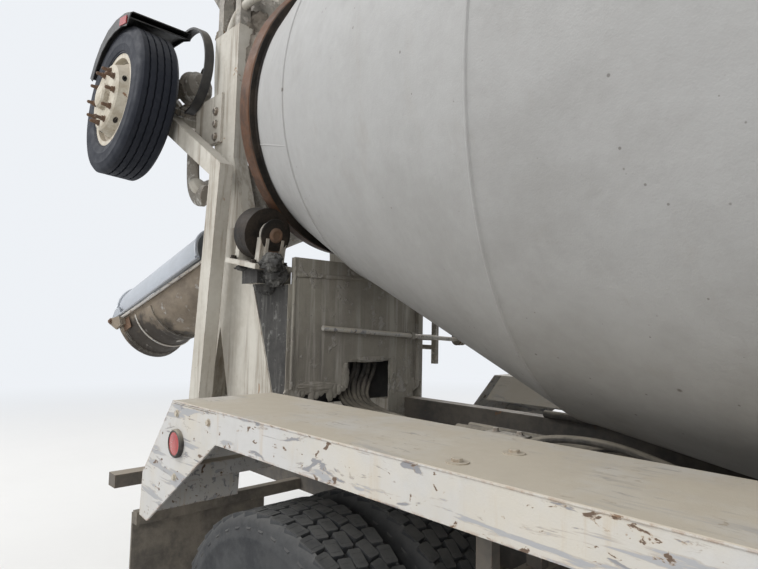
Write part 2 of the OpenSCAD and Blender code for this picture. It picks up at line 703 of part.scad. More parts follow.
// Front pedestal and the drum's drive
drive_s = 4050;
gear_r = 210;
function drum_x(s) = -drum_back + s * cos(drum_tilt);
function drum_height(s) = drum_z - s * sin(drum_tilt);
pedestal_x = drum_x(drive_s + 150);
module front_pedestal() on_axle() color(cream) difference() {
  union() {
    cross_plate(pedestal_x, pedestal_x + 200, [
      [-rail_y, rail_top], [rail_y, rail_top], [rail_y, rail_top + 60],
      [230, drum_height(drive_s + 250)], [-230, drum_height(drive_s + 250)], [-rail_y, rail_top + 60]
    ]);
    both_sides() side_plate(rail_y - flange_w, rail_y, [
      [pedestal_x - 350, rail_top], [pedestal_x + 20, rail_top], [pedestal_x + 20, 1600],
      [pedestal_x - 40, 1600], [pedestal_x - 350, rail_top + 60]
    ]);
  }
  on_drum() bar_x(0, 0, gear_r, drive_s - 200, drive_s + 700);
  cross_plate(pedestal_x - 1, pedestal_x + 201, [
    [-rail_y + 80, rail_top - 1], [rail_y - 80, rail_top - 1], [210, 1560], [-210, 1560]
  ]);
}
module drum_drive() on_axle() on_drum() color(steel) {
  bar_x(0, 0, 150, drive_s + 50 + run_gap, drive_s + 110);
  bar_x(0, 0, gear_r, drive_s + 100, drive_s + 400);
  bar_x(0, 0, 150, drive_s + 400, drive_s + 470);
  bar_x(0, 0, 95, drive_s + 470, drive_s + 640);
  translate([drive_s + 480, -60, 0]) cube([120, 120, 150]);
}

// Drum: rear cone, ring seat, two rear cones, cylinder, front cone and head
seam_1 = [488, 886];
seam_2 = 1694;
seam_3 = 2750;
head_r = 620;
mouth_s = -420;
mouth_r = 520;
seat_r = ring_seat_r - 14;
module drum() on_axle() on_drum() color(white) {
  rotate([0, 90, 0]) rotate_extrude($fn = 96) polygon([
    [mouth_r, mouth_s], [seat_r, -ring_w - 20], [seat_r, 0], [ring_seat_r, 0],
    [seam_1[1], seam_1[0]], [drum_r, seam_2], [drum_r, seam_3], [head_r, drive_s], [0, drive_s],
    [0, drive_s - drum_wall], [head_r - drum_wall, drive_s - drum_wall],
    [drum_r - drum_wall, seam_3 - 4], [drum_r - drum_wall, seam_2 + 2],
    [seam_1[1] - drum_wall, seam_1[0] + 2], [seat_r - drum_wall, 2],
    [seat_r - drum_wall, -ring_w - 20], [mouth_r - drum_wall, mouth_s]
  ]);
  // Rolled rim of the mouth
  translate([mouth_s, 0, 0]) rotate([0, 90, 0]) rotate_extrude($fn = 96)
    translate([mouth_r - 2, 0]) circle(r = 14, $fn = 24);
  bar_x(0, 0, 150, drive_s - 5, drive_s + 50);
}
module drum_ring() on_axle() on_drum() color(rust) rotate([0, 90, 0]) rotate_extrude($fn = 96)
  polygon([
    [seat_r, -ring_w], [ring_r - 6, -ring_w], [ring_r, -ring_w + 6], [ring_r, -6],
    [ring_r - 6, 0], [seat_r, 0]
  ]);

// Support rollers, in the drum's frame
roller_s = -ring_w / 2;
roller_v = -sqrt(pow(ring_r + roller_r + run_gap, 2) - pow(roller_y, 2));
bearing_s = [80, 120];
module roller() on_drum() translate([roller_s, roller_y, roller_v]) {
  bar_x(0, 0, roller_r, -55, 55);
  bar_x(0, 0, roller_shaft_r, -130, 130);
}
module roller_left() on_axle() color(steel) roller();
module roller_right() on_axle() color(steel) on_side(-1) roller();

// Rear pedestal: sills, two posts, roller stands, cross beams, roller bearings and the chute's bearing
sill_top = 1150;
stand_v = roller_v - 150;
post_in = post_y - post_t;
swivel_x = -swivel_back;
bearing_top = 1450;
module roller_stand() on_drum() translate([roller_s, roller_y, roller_v]) {
  for (side = [-1, 1]) difference() {
    union() {
      bar_x(0, 0, 68, side * 100 - 20, side * 100 + 20);
      box([side * 100 - 20, -75, -150], [side * 100 + 20, 75, -20]);
    }
    bar_x(0, 0, roller_shaft_r + pin_gap, side * 100 - 21, side * 100 + 21);
  }
  box([-150, -110, -175], [150, 110, -149]);
}
module rear_pedestal() on_axle() color(cream) difference() {
  union() {
    both_sides() {
      box([-rail_back, rail_y - flange_w, rail_top], [-950, post_y, sill_top]);
      side_plate(post_in, post_y, [
        [-1490, sill_top - 1], [-1015, sill_top - 1], [-1360, 2050], [-1554, 2570],
        [-1550, post_top], [-1840, post_top], [-1840, 3150], [-1786, 2570], [-1760, 2050]
      ]);
      side_plate(post_in, post_y, [
        [-1940, sill_top - 1], [-1720, sill_top - 1], [-1560, 1890], [-1700, 2050], [-1760, 2000]
      ]);
      // Plate that the raised booster frame is latched to
      side_plate(post_y - 1, post_y + 15, [[-2040, 2690], [-1700, 2690], [-1700, 3000], [-2040, 3000]]);
      roller_stand();
      // Pillar and knee under the roller stand
      box([-1200, post_y - 20, 1800], [-1060, roller_y + 60, 1885]);
      box([-1200, post_in, sill_top - 1], [-1060, post_y, 1885]);
    }
    box([-1830, -post_in - 1, 2985], [-1770, post_in + 1, 3065]);
    box([-1940, -post_in - 1, sill_top], [-1860, post_in + 1, 1300]);
    box([-1940, -rail_y, rail_top], [-1860, rail_y, sill_top + 1]);
    side_plate(-45, 45, [
      [-1900, 1065], [swivel_x, 1065], [swivel_x, 1440], [-1900, 1295]
    ]);
    translate([swivel_x, 0, 1055]) cylinder(r = swivel_r + 25, h = bearing_top - 1055);
  }
  translate([swivel_x, 0, 1000]) cylinder(r = swivel_r + pin_gap, h = 500);
}

// Splash panel under the drum, with the hose hole, the side strips and the control rod
panel_x = -950;
panel_t = 10;
panel_top = 1935;
module splash_panel() on_axle() color(steel) {
  cross_plate(panel_x, panel_x + panel_t, [
    [-post_y - 5, 1260], [-100, 1260], [-100, 1395], [220, 1395], [220, sill_top - 95], [rail_y - 5, sill_top - 95],
    [rail_y - 5, 1260], [post_y + 5, 1260], [post_y + 5, 1795], [470, 1795], [470, panel_top], [-470, panel_top],
    [-470, 1795], [-post_y - 5, 1795]
  ]);
  both_sides() side_plate(post_y, post_y + 6, [
    [-1195, 1160], [panel_x + panel_t, 1160], [panel_x + panel_t, 1795], [-1195, 1795]
  ]);
  // Control rod with its bracket and can
  rod([-900, -310, 1578], [-900, 960, 1507], 11);
  box([panel_x + panel_t - 1, 350, 1520], [-885, 380, 1560]);
  bar_y(-900, 1520, 38, 790, 850);
}

// Charge hopper, a four-sided funnel on two legs over the drum's mouth
module funnel(rim, foot, t) {
  hull() {
    translate([rim[0] - t, -rim[1] - t, rim[2] - 1]) cube([rim[3] + 2 * t, 2 * (rim[1] + t), 1]);
    translate([foot[0], 0, foot[1]]) cylinder(r = foot[2] + t, h = 1, $fn = 32);
  }
}
hopper_rim = [-2080, 480, 3895, 780];
hopper_foot = [-1525, 2960, 170];
hopper_t = 8;
module charge_hopper() on_axle() color(steel) difference() {
  union() {
    funnel(hopper_rim, hopper_foot, hopper_t);
    translate([hopper_rim[0] - 30, -hopper_rim[1] - 30, hopper_rim[2] - 40])
      cube([hopper_rim[3] + 60, 2 * hopper_rim[1] + 60, 40]);
    both_sides() for (x = [-1830, -1620])
      box([x, post_in + 10, post_top], [x + 60, post_y - 10, hopper_rim[2] - 20]);
  }
  funnel([hopper_rim[0], hopper_rim[1], hopper_rim[2] + 1, hopper_rim[3]],
         [hopper_foot[0], hopper_foot[1] - 1, hopper_foot[2]], 0);
}

// Collector between the posts, from under the drum's mouth to the chute
collector_foot = [swivel_x + 16, 2110, 150];
module collector_form(t, z_up, reach) {
  hull() {
    translate([-2240 - t, -370 - t, 2550]) cube([700 + t + reach, 740 + 2 * t, z_up]);
    translate([-1540, -300 - t, 2275 - t]) cube([reach, 600 + 2 * t, 4]);
    translate([collector_foot[0], 0, collector_foot[1] - z_up]) cylinder(r = collector_foot[2] + t, h = 1, $fn = 32);
  }
}
module collector() on_axle() color(steel) {
  difference() {
    collector_form(8, 1, 50);
    collector_form(0, 2, 60);
  }
  both_sides() box([-1700, 362, 2525], [-1620, post_in, 2550]);
}

// Ladder on the left
ladder_y = 905;
module ladder() on_axle() color(steel) {
  for (x = [-1560, -1200]) box([x, ladder_y - 15, 1340], [x + 40, ladder_y + 15, 3300]);
  for (i = [0:6]) bar_x(ladder_y, 1450 + i * 280, 14, -1530, -1190);
  box([-1330, post_y, 1500], [-1290, ladder_y + 10, 1540]);
  box([-1560, ladder_y - 10, 1500], [-1190, ladder_y + 10, 1540]);
  box([-1600, post_y, 3230], [-1560, ladder_y + 10, 3270]);
}

// Lamps on the fenders' rear plates and on the rear bar
module tail_lamps() on_axle() color([0.55, 0.06, 0.05]) both_sides() {
  bar_y(-lamp_back[0], lamp_back[1], 41, fender_y, fender_y + 14);
  for (y = [730, 860]) bar_x(y, bar_back_z + 30, 29, bar_back_x - 25, bar_back_x);
}

// Knuckle on its kingpin, with the spindle's flange
knuckle_y = kingpin_y + 55;
spindle_y = 960;
module knuckle() translate([wheelbase, 0, 0]) {
  for (z = [kingpin_z - 45 - 35, kingpin_z + 45 + 5]) {
    translate([0, kingpin_y, z]) cylinder(r = 48, h = 30);
    box([-45, kingpin_y, z], [45, knuckle_y + 5, z + 30]);
  }
  box([-60, knuckle_y, kingpin_z - 80], [60, knuckle_y + 22, kingpin_z + 80 + 45]);
  bar_y(0, front_tyre_r, 60, knuckle_y + 5, spindle_y);
  translate([0, kingpin_y, kingpin_z - 70]) cylinder(r = kingpin_r, h = 140);
}
module knuckle_left() on_axle() color(dark) knuckle();
module knuckle_right() on_axle() color(dark) on_side(-1) knuckle();

// Booster axle: two bent arms, the axle between them and the wheel spindles
boost_axle = [-boost_wheel_back, boost_wheel_z];
boost_pivot = [-boost_back, boost_z];
elbow = [-1470, 2450];
arm_half = 58;
// Points beside a line from a to b, at distance w
function beside(a, b, w) = let (d = (b - a) / norm(b - a)) [-d[1] * w, d[0] * w];
module booster_arm() {
  low = beside(boost_pivot, elbow, arm_half);
  high = beside(elbow, boost_axle, arm_half);
  mid = beside(boost_pivot, boost_axle, arm_half * 1.12);
  difference() {
    union() {
      side_plate(arm_in, arm_out, [
        boost_pivot - low, elbow - mid, boost_axle - high, boost_axle + high, elbow + mid, boost_pivot + low
      ]);
      bar_y(boost_pivot[0], boost_pivot[1], boost_pin_r + 45, arm_in, arm_out);
      bar_y(boost_axle[0], boost_axle[1], 90, arm_in, arm_out);
    }
    bar_y(boost_pivot[0], boost_pivot[1], boost_pin_r + pin_gap, arm_in - 1, arm_out + 1);
  }
}
spindle_out = 700;
module booster_arms() on_axle() color(steel) {
  both_sides() {
    booster_arm();
    on_booster() translate([0, 0, spindle_out - boost_wheel_y - 60]) cylinder(r = 70, h = 60 - 15);
  }
  translate([boost_axle[0] - 55, -arm_in - 5, boost_axle[1] - 55]) cube([110, 2 * arm_in + 10, 110]);
}
// Frame of the left booster wheel: +Z runs out along its tilted axis from the tyre's middle
module on_booster() {
  translate([boost_axle[0], boost_wheel_y, boost_axle[1]]) rotate([-90 + boost_tilt, 0, 0]) children();
}
booster_fender_r = 520;
strap_at = [-2095, 3230];
strap_r = 272;
module booster_fenders() on_axle() color(black) both_sides() {
  translate([boost_axle[0], 550, boost_axle[1]]) rotate([90, 0, 0]) mirror([0, 0, 1])
    rotate([0, 0, 60]) rotate_extrude(angle = 88) translate([booster_fender_r, 0]) square([7, 390]);
  difference() {
    translate([strap_at[0], 522, strap_at[1]]) rotate([90, 0, 0]) mirror([0, 0, 1])
      rotate([0, 0, -142]) rotate_extrude(angle = 247) translate([strap_r, 0]) square([14, 57.7]);
    translate([boost_axle[0] - 55.3, 500, boost_axle[1] - 55.3]) cube([110.6, 100, 110.6]);
  }
  for (a = [125])
    translate([boost_axle[0], 600, boost_axle[1]]) rotate([0, -a, 0])
      translate([90.3, 0, -15]) cube([booster_fender_r - 89, 30, 30]);
}

// Chute base: the swivel shaft with the lift hinge's fork and the cylinder's foot
foot_u = 160;
foot_z = 1075;
lug_r = 24;
pin_x = 480;
pin_drop = 70;
keel_up = 45;
fork_y = 62;
lift_pin_r = 15;
module on_swivel() {
  translate([swivel_x, 0, 0]) rotate([0, 0, 180 + chute_swing]) children();
}
// The chute's frame: +X runs down its keel from the lift hinge, +Z out of the trough
module on_chute() {
  on_swivel() translate([0, 0, lift_z]) rotate([0, chute_slope, 0]) children();
}
module chute_base() on_axle() color(steel) on_swivel() difference() {
  union() {
    translate([0, 0, 960]) cylinder(r = swivel_r, h = 560);
    translate([0, 0, bearing_top + run_gap]) cylinder(r = 82, h = 70);
    translate([-45, -fork_y - 22, bearing_top + 60]) cube([90, 2 * fork_y + 44, 195]);
    for (side = [-1, 1]) translate([0, side * (fork_y + 11), 0]) {
      box([-38, -11, 1690], [38, 11, lift_z]);
      bar_y(0, lift_z, 38, -11, 11);
    }
    translate([0, 0, 960]) cylinder(r = 72, h = 60);
    box([0, -38, 960], [foot_u + 30, 38, 1020]);
    for (side = [-1, 1]) translate([0, side * 32, 0]) {
      box([foot_u - 30, -6, 1000], [foot_u + 30, 6, foot_z]);
      bar_y(foot_u, foot_z, 30, -6, 6);
    }
    bar_y(foot_u, foot_z, 12, -38, 38);
  }
  bar_y(0, lift_z, lift_pin_r + pin_gap, -fork_y - 30, fork_y + 30);
}

// A trough: half a cone with upright sides, its keel along X at Z = 0
module trough(r1, r2, l, h, t) {
  taper = atan((r2 - r1) / l);
  difference() {
    translate([0, 0, r1]) rotate([0, 90 - taper, 0]) translate([0, 0, -30])
      cylinder(r1 = r1 - 30 * tan(taper), r2 = r2 + 30 * tan(taper), h = l / cos(taper) + 60);
    translate([0, 0, r1]) rotate([0, 90 - taper, 0]) translate([0, 0, -31])
      cylinder(r1 = r1 - 31 * tan(taper) - t, r2 = r2 + 31 * tan(taper) - t, h = l / cos(taper) + 62);
    box([-100, -2 * r2, -r2], [0, 2 * r2, 3 * r2]);
    box([l, -2 * r2, -r2], [l + 100, 2 * r2, 3 * r2]);
    translate([0, 0, r1]) rotate([0, -taper, 0]) box([-200, -2 * r2, 0], [l + 300, 2 * r2, 3 * r2]);
  }
  both_sides() translate([0, r1, 0]) rotate([0, 0, taper]) {
    side_plate(-t, 0, [
      [0, r1 - 2], [l / cos(taper), r2 - 2], [l / cos(taper), h], [0, h]
    ]);
    // Turned-out flange along the top edge
    side_plate(-t, 22, [[0, h - 8], [l / cos(taper), h - 8], [l / cos(taper), h], [0, h]]);
  }
}
// A stiffening band round the trough at distance x, w wide and d deep
module trough_band(r1, r2, l, x, w, d) {
  taper = atan((r2 - r1) / l);
  r = r1 + x * tan(taper);
  translate([x, 0, r]) rotate([0, 90, 0]) rotate([0, 0, 90]) rotate([0, 0, -90])
    translate([0, 0, -w / 2]) rotate_extrude(angle = 360) translate([r - 3, 0]) square([d + 3, w]);
}
module band_below(r1, r2, l, x, w, d) {
  taper = atan((r2 - r1) / l);
  r = r1 + x * tan(taper);
  intersection() {
    trough_band(r1, r2, l, x, w, d);
    box([x - w, -2 * r2, -d - 10], [x + w, 2 * r2, r]);
  }
}
fold_x = chute_l + 25;
fold_z = keel_up + chute_h + 10;
fold_pin_r = 12;
fold_lug_y = chute_r2 + 30;
fold_r = 250;
fold_h = 280;
module main_chute() on_axle() color(dusty) on_chute() {
  translate([0, 0, keel_up]) {
    trough(chute_r1, chute_r2, chute_l, chute_h, chute_t);
    for (x = [40, 760, chute_l - 30]) band_below(chute_r1, chute_r2, chute_l, x, 45, 12);
  }
  // Hinge barrel and its web
  bar_y(0, 0, 32, -fork_y + run_gap, fork_y - run_gap);
  bar_y(0, 0, lift_pin_r, -fork_y - 20, fork_y + 20);
  side_plate(-30, 30, [[-22, 10], [22, 10], [120, keel_up + 4], [0, keel_up + 4]]);
  // Lugs of the lift cylinder
  for (side = [-1, 1]) translate([0, side * 27, 0])
    side_plate(-5, 5, [
      [pin_x - 60, keel_up + 6], [pin_x + 60, keel_up + 6], [pin_x + 26, keel_up - pin_drop - 10],
      [pin_x - 26, keel_up - pin_drop - 10]
    ]);
  // Eyes of the fold-over chute's hinge
  both_sides() difference() {
    union() {
      bar_y(fold_x, fold_z, 26, fold_lug_y, fold_lug_y + 18);
      side_plate(fold_lug_y, fold_lug_y + 18, [
        [chute_l - 90, keel_up + chute_h - 70], [chute_l - 20, keel_up + chute_h - 80],
        [fold_x + 24, fold_z - 10], [fold_x - 10, fold_z + 22], [chute_l - 90, keel_up + chute_h]
      ]);
      box([chute_l - 85, chute_r2 - 14, keel_up + chute_h - 60], [chute_l - 30, fold_lug_y + 5, keel_up + chute_h - 10]);
    }
    bar_y(fold_x, fold_z, fold_pin_r + pin_gap, fold_lug_y - 1, fold_lug_y + 19);
  }
}
// The fold-over chute lies upside down on the main chute
module fold_chute() on_axle() color(white) on_chute() {
  translate([chute_l - 5, 0, fold_z + 8 + fold_h]) rotate([0, 180, 0])
    trough(chute_r2 + 8, fold_r, chute_l - 125, fold_h, chute_t);
  both_sides() {
    bar_y(fold_x, fold_z, fold_pin_r, chute_r2 + 14, fold_lug_y + 20);
    side_plate(chute_r2 + 14, fold_lug_y - 2, [
      [chute_l - 90, fold_z + 16], [chute_l - 20, fold_z + 14], [fold_x - 8, fold_z - 14],
      [fold_x + 16, fold_z - 4], [fold_x + 12, fold_z + 22], [chute_l - 30, fold_z + 70], [chute_l - 90, fold_z + 70]
    ]);
    box([chute_l - 85, chute_r2 - 4, fold_z + 14], [chute_l - 30, chute_r2 + 20, fold_z + 60]);
  }
}

// Lift cylinder: the barrel on the base's foot, and the rod whose eye stays between the chute's lugs
eye_at = [
  pin_x * cos(chute_slope) + (keel_up - pin_drop) * sin(chute_slope),
  lift_z - pin_x * sin(chute_slope) + (keel_up - pin_drop) * cos(chute_slope)
];
cylinder_run = eye_at - [foot_u, foot_z];
cylinder_lean = atan2(cylinder_run[0], cylinder_run[1]);
cylinder_l = norm(cylinder_run);
barrel_r = 36;
barrel_l = 300;
rod_r = 20;
rod_l = 343;
module on_cylinder() {
  on_swivel() translate([foot_u, 0, foot_z]) rotate([0, cylinder_lean, 0]) children();
}
module chute_cylinder() on_axle() color(dark) on_cylinder() difference() {
  union() {
    cylinder(r = barrel_r, h = barrel_l);
    bar_y(0, 0, lug_r, -25, 25);
    box([-20, -25, 0], [20, 25, 30]);
  }
  translate([0, 0, 15]) cylinder(r = rod_r + pin_gap, h = barrel_l);
  bar_y(0, 0, 12 + pin_gap, -26, 26);
  for (side = [-1, 1]) translate([0, side * 38, 0]) cube([90, 26, 84], center = true);
}
module chute_rod() on_axle() color(steel) on_cylinder() {
  translate([0, 0, cylinder_l - rod_l]) cylinder(r = rod_r, h = rod_l);
  bar_y(0, cylinder_l, lug_r, -17, 17);
}

// Tyres. Profile from bead to bead, in (radius, across) pairs
function tyre_side(r, w, k) = [
  [rim_r, k * 0.38 * w], [rim_r + 16, k * 0.38 * w], [rim_r + 30, k * 0.44 * w],
  [rim_r + 0.35 * (r - rim_r), k * 0.485 * w], [rim_r + 0.55 * (r - rim_r), k * 0.5 * w],
  [r - 0.22 * (r - rim_r), k * 0.485 * w], [r - 0.09 * (r - rim_r), k * 0.455 * w], [r - 6, k * 0.41 * w], [r, k * 0.36 * w]
];
function reversed(list) = [for (i = [len(list) - 1:-1:0]) list[i]];
module tyre(r, w, grooves) rotate_extrude($fn = 96) difference() {
  polygon(concat(tyre_side(r, w, -1), reversed(tyre_side(r, w, 1))));
  for (g = grooves) translate([r - 14, g * w - 5]) square([20, 10]);
}
rear_grooves = [-0.2, 0, 0.2];
rib_grooves = [-0.24, -0.08, 0.08, 0.24];
// Rim: barrel, lips and a dished disc with hand holes, seen along +Z, its outer side
module rim_barrel(w) rotate_extrude($fn = 96) polygon([
  [rim_r - 14, -0.38 * w - 8], [rim_r + 14, -0.38 * w - 8], [rim_r + 14, -0.38 * w], [rim_r, -0.38 * w],
  [rim_r, 0.38 * w], [rim_r + 14, 0.38 * w], [rim_r + 14, 0.38 * w + 8], [rim_r - 14, 0.38 * w + 8],
  [rim_r - 14, 0.38 * w - 25], [rim_r - 26, 0.38 * w - 45], [rim_r - 26, -0.38 * w + 45], [rim_r - 14, -0.38 * w + 25]
]);
// Disc from the bolting face at z0 out to the barrel at z1
module rim_disc(z0, z1, t) difference() {
  rotate_extrude($fn = 96) polygon([
    [60, z0], [215, z0], [rim_r - 8, z1], [rim_r - 8, z1 + t], [215, z0 + t], [60, z0 + t]
  ]);
  for (a = [0:45:315]) rotate([0, 0, a]) translate([228, 0, min(z0, z1) - 40])
    cylinder(r = 20, h = abs(z1 - z0) + 90, $fn = 24);
}
hub_r = 85;
stud_pcd_r = 167.5;
module steer_rim(w, disc, hub_in, hub_out) {
  rim_barrel(w);
  rim_disc(disc, disc - 45, 14);
  translate([0, 0, hub_in]) cylinder(r = 200, h = 70);
  translate([0, 0, hub_in]) cylinder(r = 110, h = hub_out - hub_in - 30);
  cylinder(r = hub_r, h = hub_out);
  for (a = [0:36:324]) rotate([0, 0, a]) translate([stud_pcd_r, 0, disc]) cylinder(r = 11, h = 60, $fn = 24);
}
module dual_rim() {
  for (k = [-1, 1]) translate([0, 0, k * dual_spacing / 2]) rim_barrel(rear_tyre_w);
  rim_disc(0, 75, 14);
  mirror([0, 0, 1]) rim_disc(0, 75, 14);
  translate([0, 0, axle_end_y + run_gap - dual_y]) cylinder(r = 205, h = 170);
  translate([0, 0, axle_end_y + run_gap - dual_y]) cylinder(r = 120, h = 300);
  translate([0, 0, -10]) cylinder(r = hub_r, h = 175);
  for (a = [0:36:324]) rotate([0, 0, a]) translate([stud_pcd_r, 0, 0]) cylinder(r = 11, h = 50, $fn = 24);
}
module on_front(side) on_axle() on_side(side)
  translate([wheelbase, front_y, front_tyre_r]) rotate([-90, 0, 0]) children();
module on_tandem(x, side) on_axle() on_side(side)
  translate([x, dual_y, rear_tyre_r]) rotate([-90, 0, 0]) children();
module booster_tyre(side) on_axle() on_side(side) on_booster() tyre(booster_tyre_r, booster_tyre_w, rib_grooves);
module booster_rim(side) on_axle() on_side(side) on_booster()
  steer_rim(booster_tyre_w, 60, spindle_out - boost_wheel_y - 15 + run_gap, 118);
module front_tyre(side) on_front(side) tyre(front_tyre_r, front_tyre_w, rib_grooves);
module front_rim(side) on_front(side) steer_rim(front_tyre_w, 110, spindle_y + run_gap - front_y, 185);
module tandem_tyres(x, side) on_tandem(x, side) for (k = [-1, 1])
  translate([0, 0, k * dual_spacing / 2]) tyre(rear_tyre_r, rear_tyre_w, rear_grooves);
module tandem_rim(x, side) on_tandem(x, side) dual_rim();

frame_rails();
front_axle();
rear_axles();
walking_beams();
engine();
front_bumper();
cab_shell();
cab_glass();
cab_interior();
mirrors();
tanks();
step_box();
exhaust_stack();
tandem_fenders();
mud_flaps();
front_pedestal();
drum_drive();
rear_pedestal();
splash_panel();
charge_hopper();
collector();
ladder();
tail_lamps();
hood();
grille();
headlamps();
door_left();
door_right();
door_glass_left();
door_glass_right();
knuckle_left();
knuckle_right();
drum();
drum_ring();
roller_left();
roller_right();
booster_arms();
booster_fenders();
chute_base();
main_chute();
fold_chute();
chute_cylinder();
chute_rod();
color(tyre_black) front_tyre(1);  // tyre_front_left
color(steel) front_rim(1);  // rim_front_left
color(tyre_black) front_tyre(-1);  // tyre_front_right
color(steel) front_rim(-1);  // rim_front_right
color(tyre_black) tandem_tyres(tandem_spread, 1);  // tyres_mid_left
color(steel) tandem_rim(tandem_spread, 1);  // rim_mid_left
color(tyre_black) tandem_tyres(tandem_spread, -1);  // tyres_mid_right
color(steel) tandem_rim(tandem_spread, -1);  // rim_mid_right
color(tyre_black) tandem_tyres(0, 1);  // tyres_rear_left
color(steel) tandem_rim(0, 1);  // rim_rear_left
color(tyre_black) tandem_tyres(0, -1);  // tyres_rear_right
color(steel) tandem_rim(0, -1);  // rim_rear_right
color(tyre_black) booster_tyre(1);  // tyre_booster_left
color(cream) booster_rim(1);  // rim_booster_left
color(tyre_black) booster_tyre(-1);  // tyre_booster_right
color(cream) booster_rim(-1);  // rim_booster_right
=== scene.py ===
"""Concrete mixer truck: weathered paint, tyres, drum, booster axle, chute and fittings over the frame."""

import bmesh
import bpy
import numpy as np
from mathutils import Matrix


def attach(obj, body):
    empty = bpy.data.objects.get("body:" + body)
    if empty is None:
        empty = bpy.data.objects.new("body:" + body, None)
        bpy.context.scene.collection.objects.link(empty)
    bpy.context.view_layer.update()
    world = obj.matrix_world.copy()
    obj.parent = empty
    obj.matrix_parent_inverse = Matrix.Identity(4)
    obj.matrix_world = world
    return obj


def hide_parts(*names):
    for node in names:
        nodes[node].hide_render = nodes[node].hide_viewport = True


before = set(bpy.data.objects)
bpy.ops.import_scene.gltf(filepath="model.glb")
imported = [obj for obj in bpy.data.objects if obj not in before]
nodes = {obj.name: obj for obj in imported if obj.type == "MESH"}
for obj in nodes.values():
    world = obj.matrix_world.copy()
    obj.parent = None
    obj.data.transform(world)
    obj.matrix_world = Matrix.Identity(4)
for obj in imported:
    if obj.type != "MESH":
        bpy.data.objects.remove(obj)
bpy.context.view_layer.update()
# The rear tandem axle's x, from which most places are measured
AXLE = -1.7775

# Camera at the photograph's viewing angle, beside the right rear fender, its focal length in photo pixels
YAW, PITCH, ROLL = np.radians([46.2, 4.1, 1.25])
FOCAL_PIXELS, WIDTH_PIXELS, SENSOR = 565.0, 758.0, 36.0
EYE = (1.41 + AXLE, -2.133, 1.60)
flat_right = np.array([np.cos(YAW), np.sin(YAW), 0])
forward = np.array([-np.sin(YAW), np.cos(YAW), 0]) * np.cos(PITCH) + np.array([0, 0, np.sin(PITCH)])
flat_up = np.cross(flat_right, forward)
right = flat_right * np.cos(ROLL) + flat_up * np.sin(ROLL)
up = flat_up * np.cos(ROLL) - flat_right * np.sin(ROLL)
camera = bpy.data.objects.new("camera", bpy.data.cameras.new("camera"))
bpy.context.scene.collection.objects.link(camera)
camera.data.sensor_width = SENSOR
camera.data.lens = FOCAL_PIXELS / WIDTH_PIXELS * SENSOR
camera.data.clip_end = 400
turn = np.eye(4)
turn[:3, 0], turn[:3, 1], turn[:3, 2] = right, up, -forward
turn[:3, 3] = EYE
camera.matrix_world = Matrix(turn.tolist())
bpy.context.scene.camera = camera
bpy.context.scene.view_settings.view_transform = "Standard"


# Shader groups. Each changes a colour, or gives a mask and a height that vary over the surface
def shader_group(name, inputs, outputs=(("Color", "c"),)):
    """A new group with typed inputs and outputs, and its two end nodes."""
    tree = bpy.data.node_groups.new(name, "ShaderNodeTree")
    kinds = {"c": "NodeSocketColor", "f": "NodeSocketFloat"}
    for label, kind, value in inputs:
        socket = tree.interface.new_socket(label, in_out="INPUT", socket_type=kinds[kind])
        if value is not None:
            socket.default_value = value
    for label, kind in outputs:
        tree.interface.new_socket(label, in_out="OUTPUT", socket_type=kinds[kind])
    return tree, tree.nodes.new("NodeGroupInput"), tree.nodes.new("NodeGroupOutput")


def node(tree, kind, links=None, **settings):
    """A node with its properties set and its inputs linked or given."""
    made = tree.nodes.new("ShaderNode" + kind)
    for key, value in settings.items():
        setattr(made, key, value)
    for key, value in (links or {}).items():
        if isinstance(value, bpy.types.NodeSocket):
            tree.links.new(value, made.inputs[key])
        else:
            made.inputs[key].default_value = value
    return made


def maths(tree, operation, a, b=0.0, clamp=False):
    return node(tree, "Math", {0: a, 1: b}, operation=operation, use_clamp=clamp).outputs[0]


def step(tree, value, low, high):
    """A smooth step of a value from low to high."""
    return node(tree, "MapRange", {"Value": value, "From Min": low, "From Max": high},
                interpolation_type="SMOOTHSTEP").outputs[0]


def blend(tree, mask, a, b):
    return node(tree, "Mix", {0: mask, 6: a, 7: b}, data_type="RGBA").outputs[2]


def cover(tree, start, end, mask, over):
    """Ends a group: its colour, covered by another of its colours where the mask is one."""
    tree.links.new(blend(tree, mask, start.outputs["Color"], start.outputs[over]), end.inputs["Color"])
    return tree


def noise(tree, vector, scale, detail=4.0, rough=0.6, warp=0.0):
    return node(tree, "TexNoise", {"Vector": vector, "Scale": scale, "Detail": detail,
                                   "Roughness": rough, "Distortion": warp}).outputs["Fac"]


def place(tree):
    return node(tree, "TexCoord").outputs["Object"]


def make_tone():
    """Broad soft changes of tone, and a finer mottle inside them."""
    tree, start, end = shader_group(
        "broad_tone", [("Color", "c", None), ("Tint", "c", None), ("Scale", "f", 2.0),
                       ("Amount", "f", 0.5)])
    at = place(tree)
    wide = noise(tree, at, start.outputs["Scale"], 5.0, 0.62, 0.3)
    fine = noise(tree, at, maths(tree, "MULTIPLY", start.outputs["Scale"], 9.0), 4.0, 0.65)
    both = maths(tree, "ADD", maths(tree, "MULTIPLY", wide, 0.7), maths(tree, "MULTIPLY", fine, 0.3))
    mask = maths(tree, "MULTIPLY", step(tree, both, 0.38, 0.64), start.outputs["Amount"], True)
    return cover(tree, start, end, mask, "Tint")


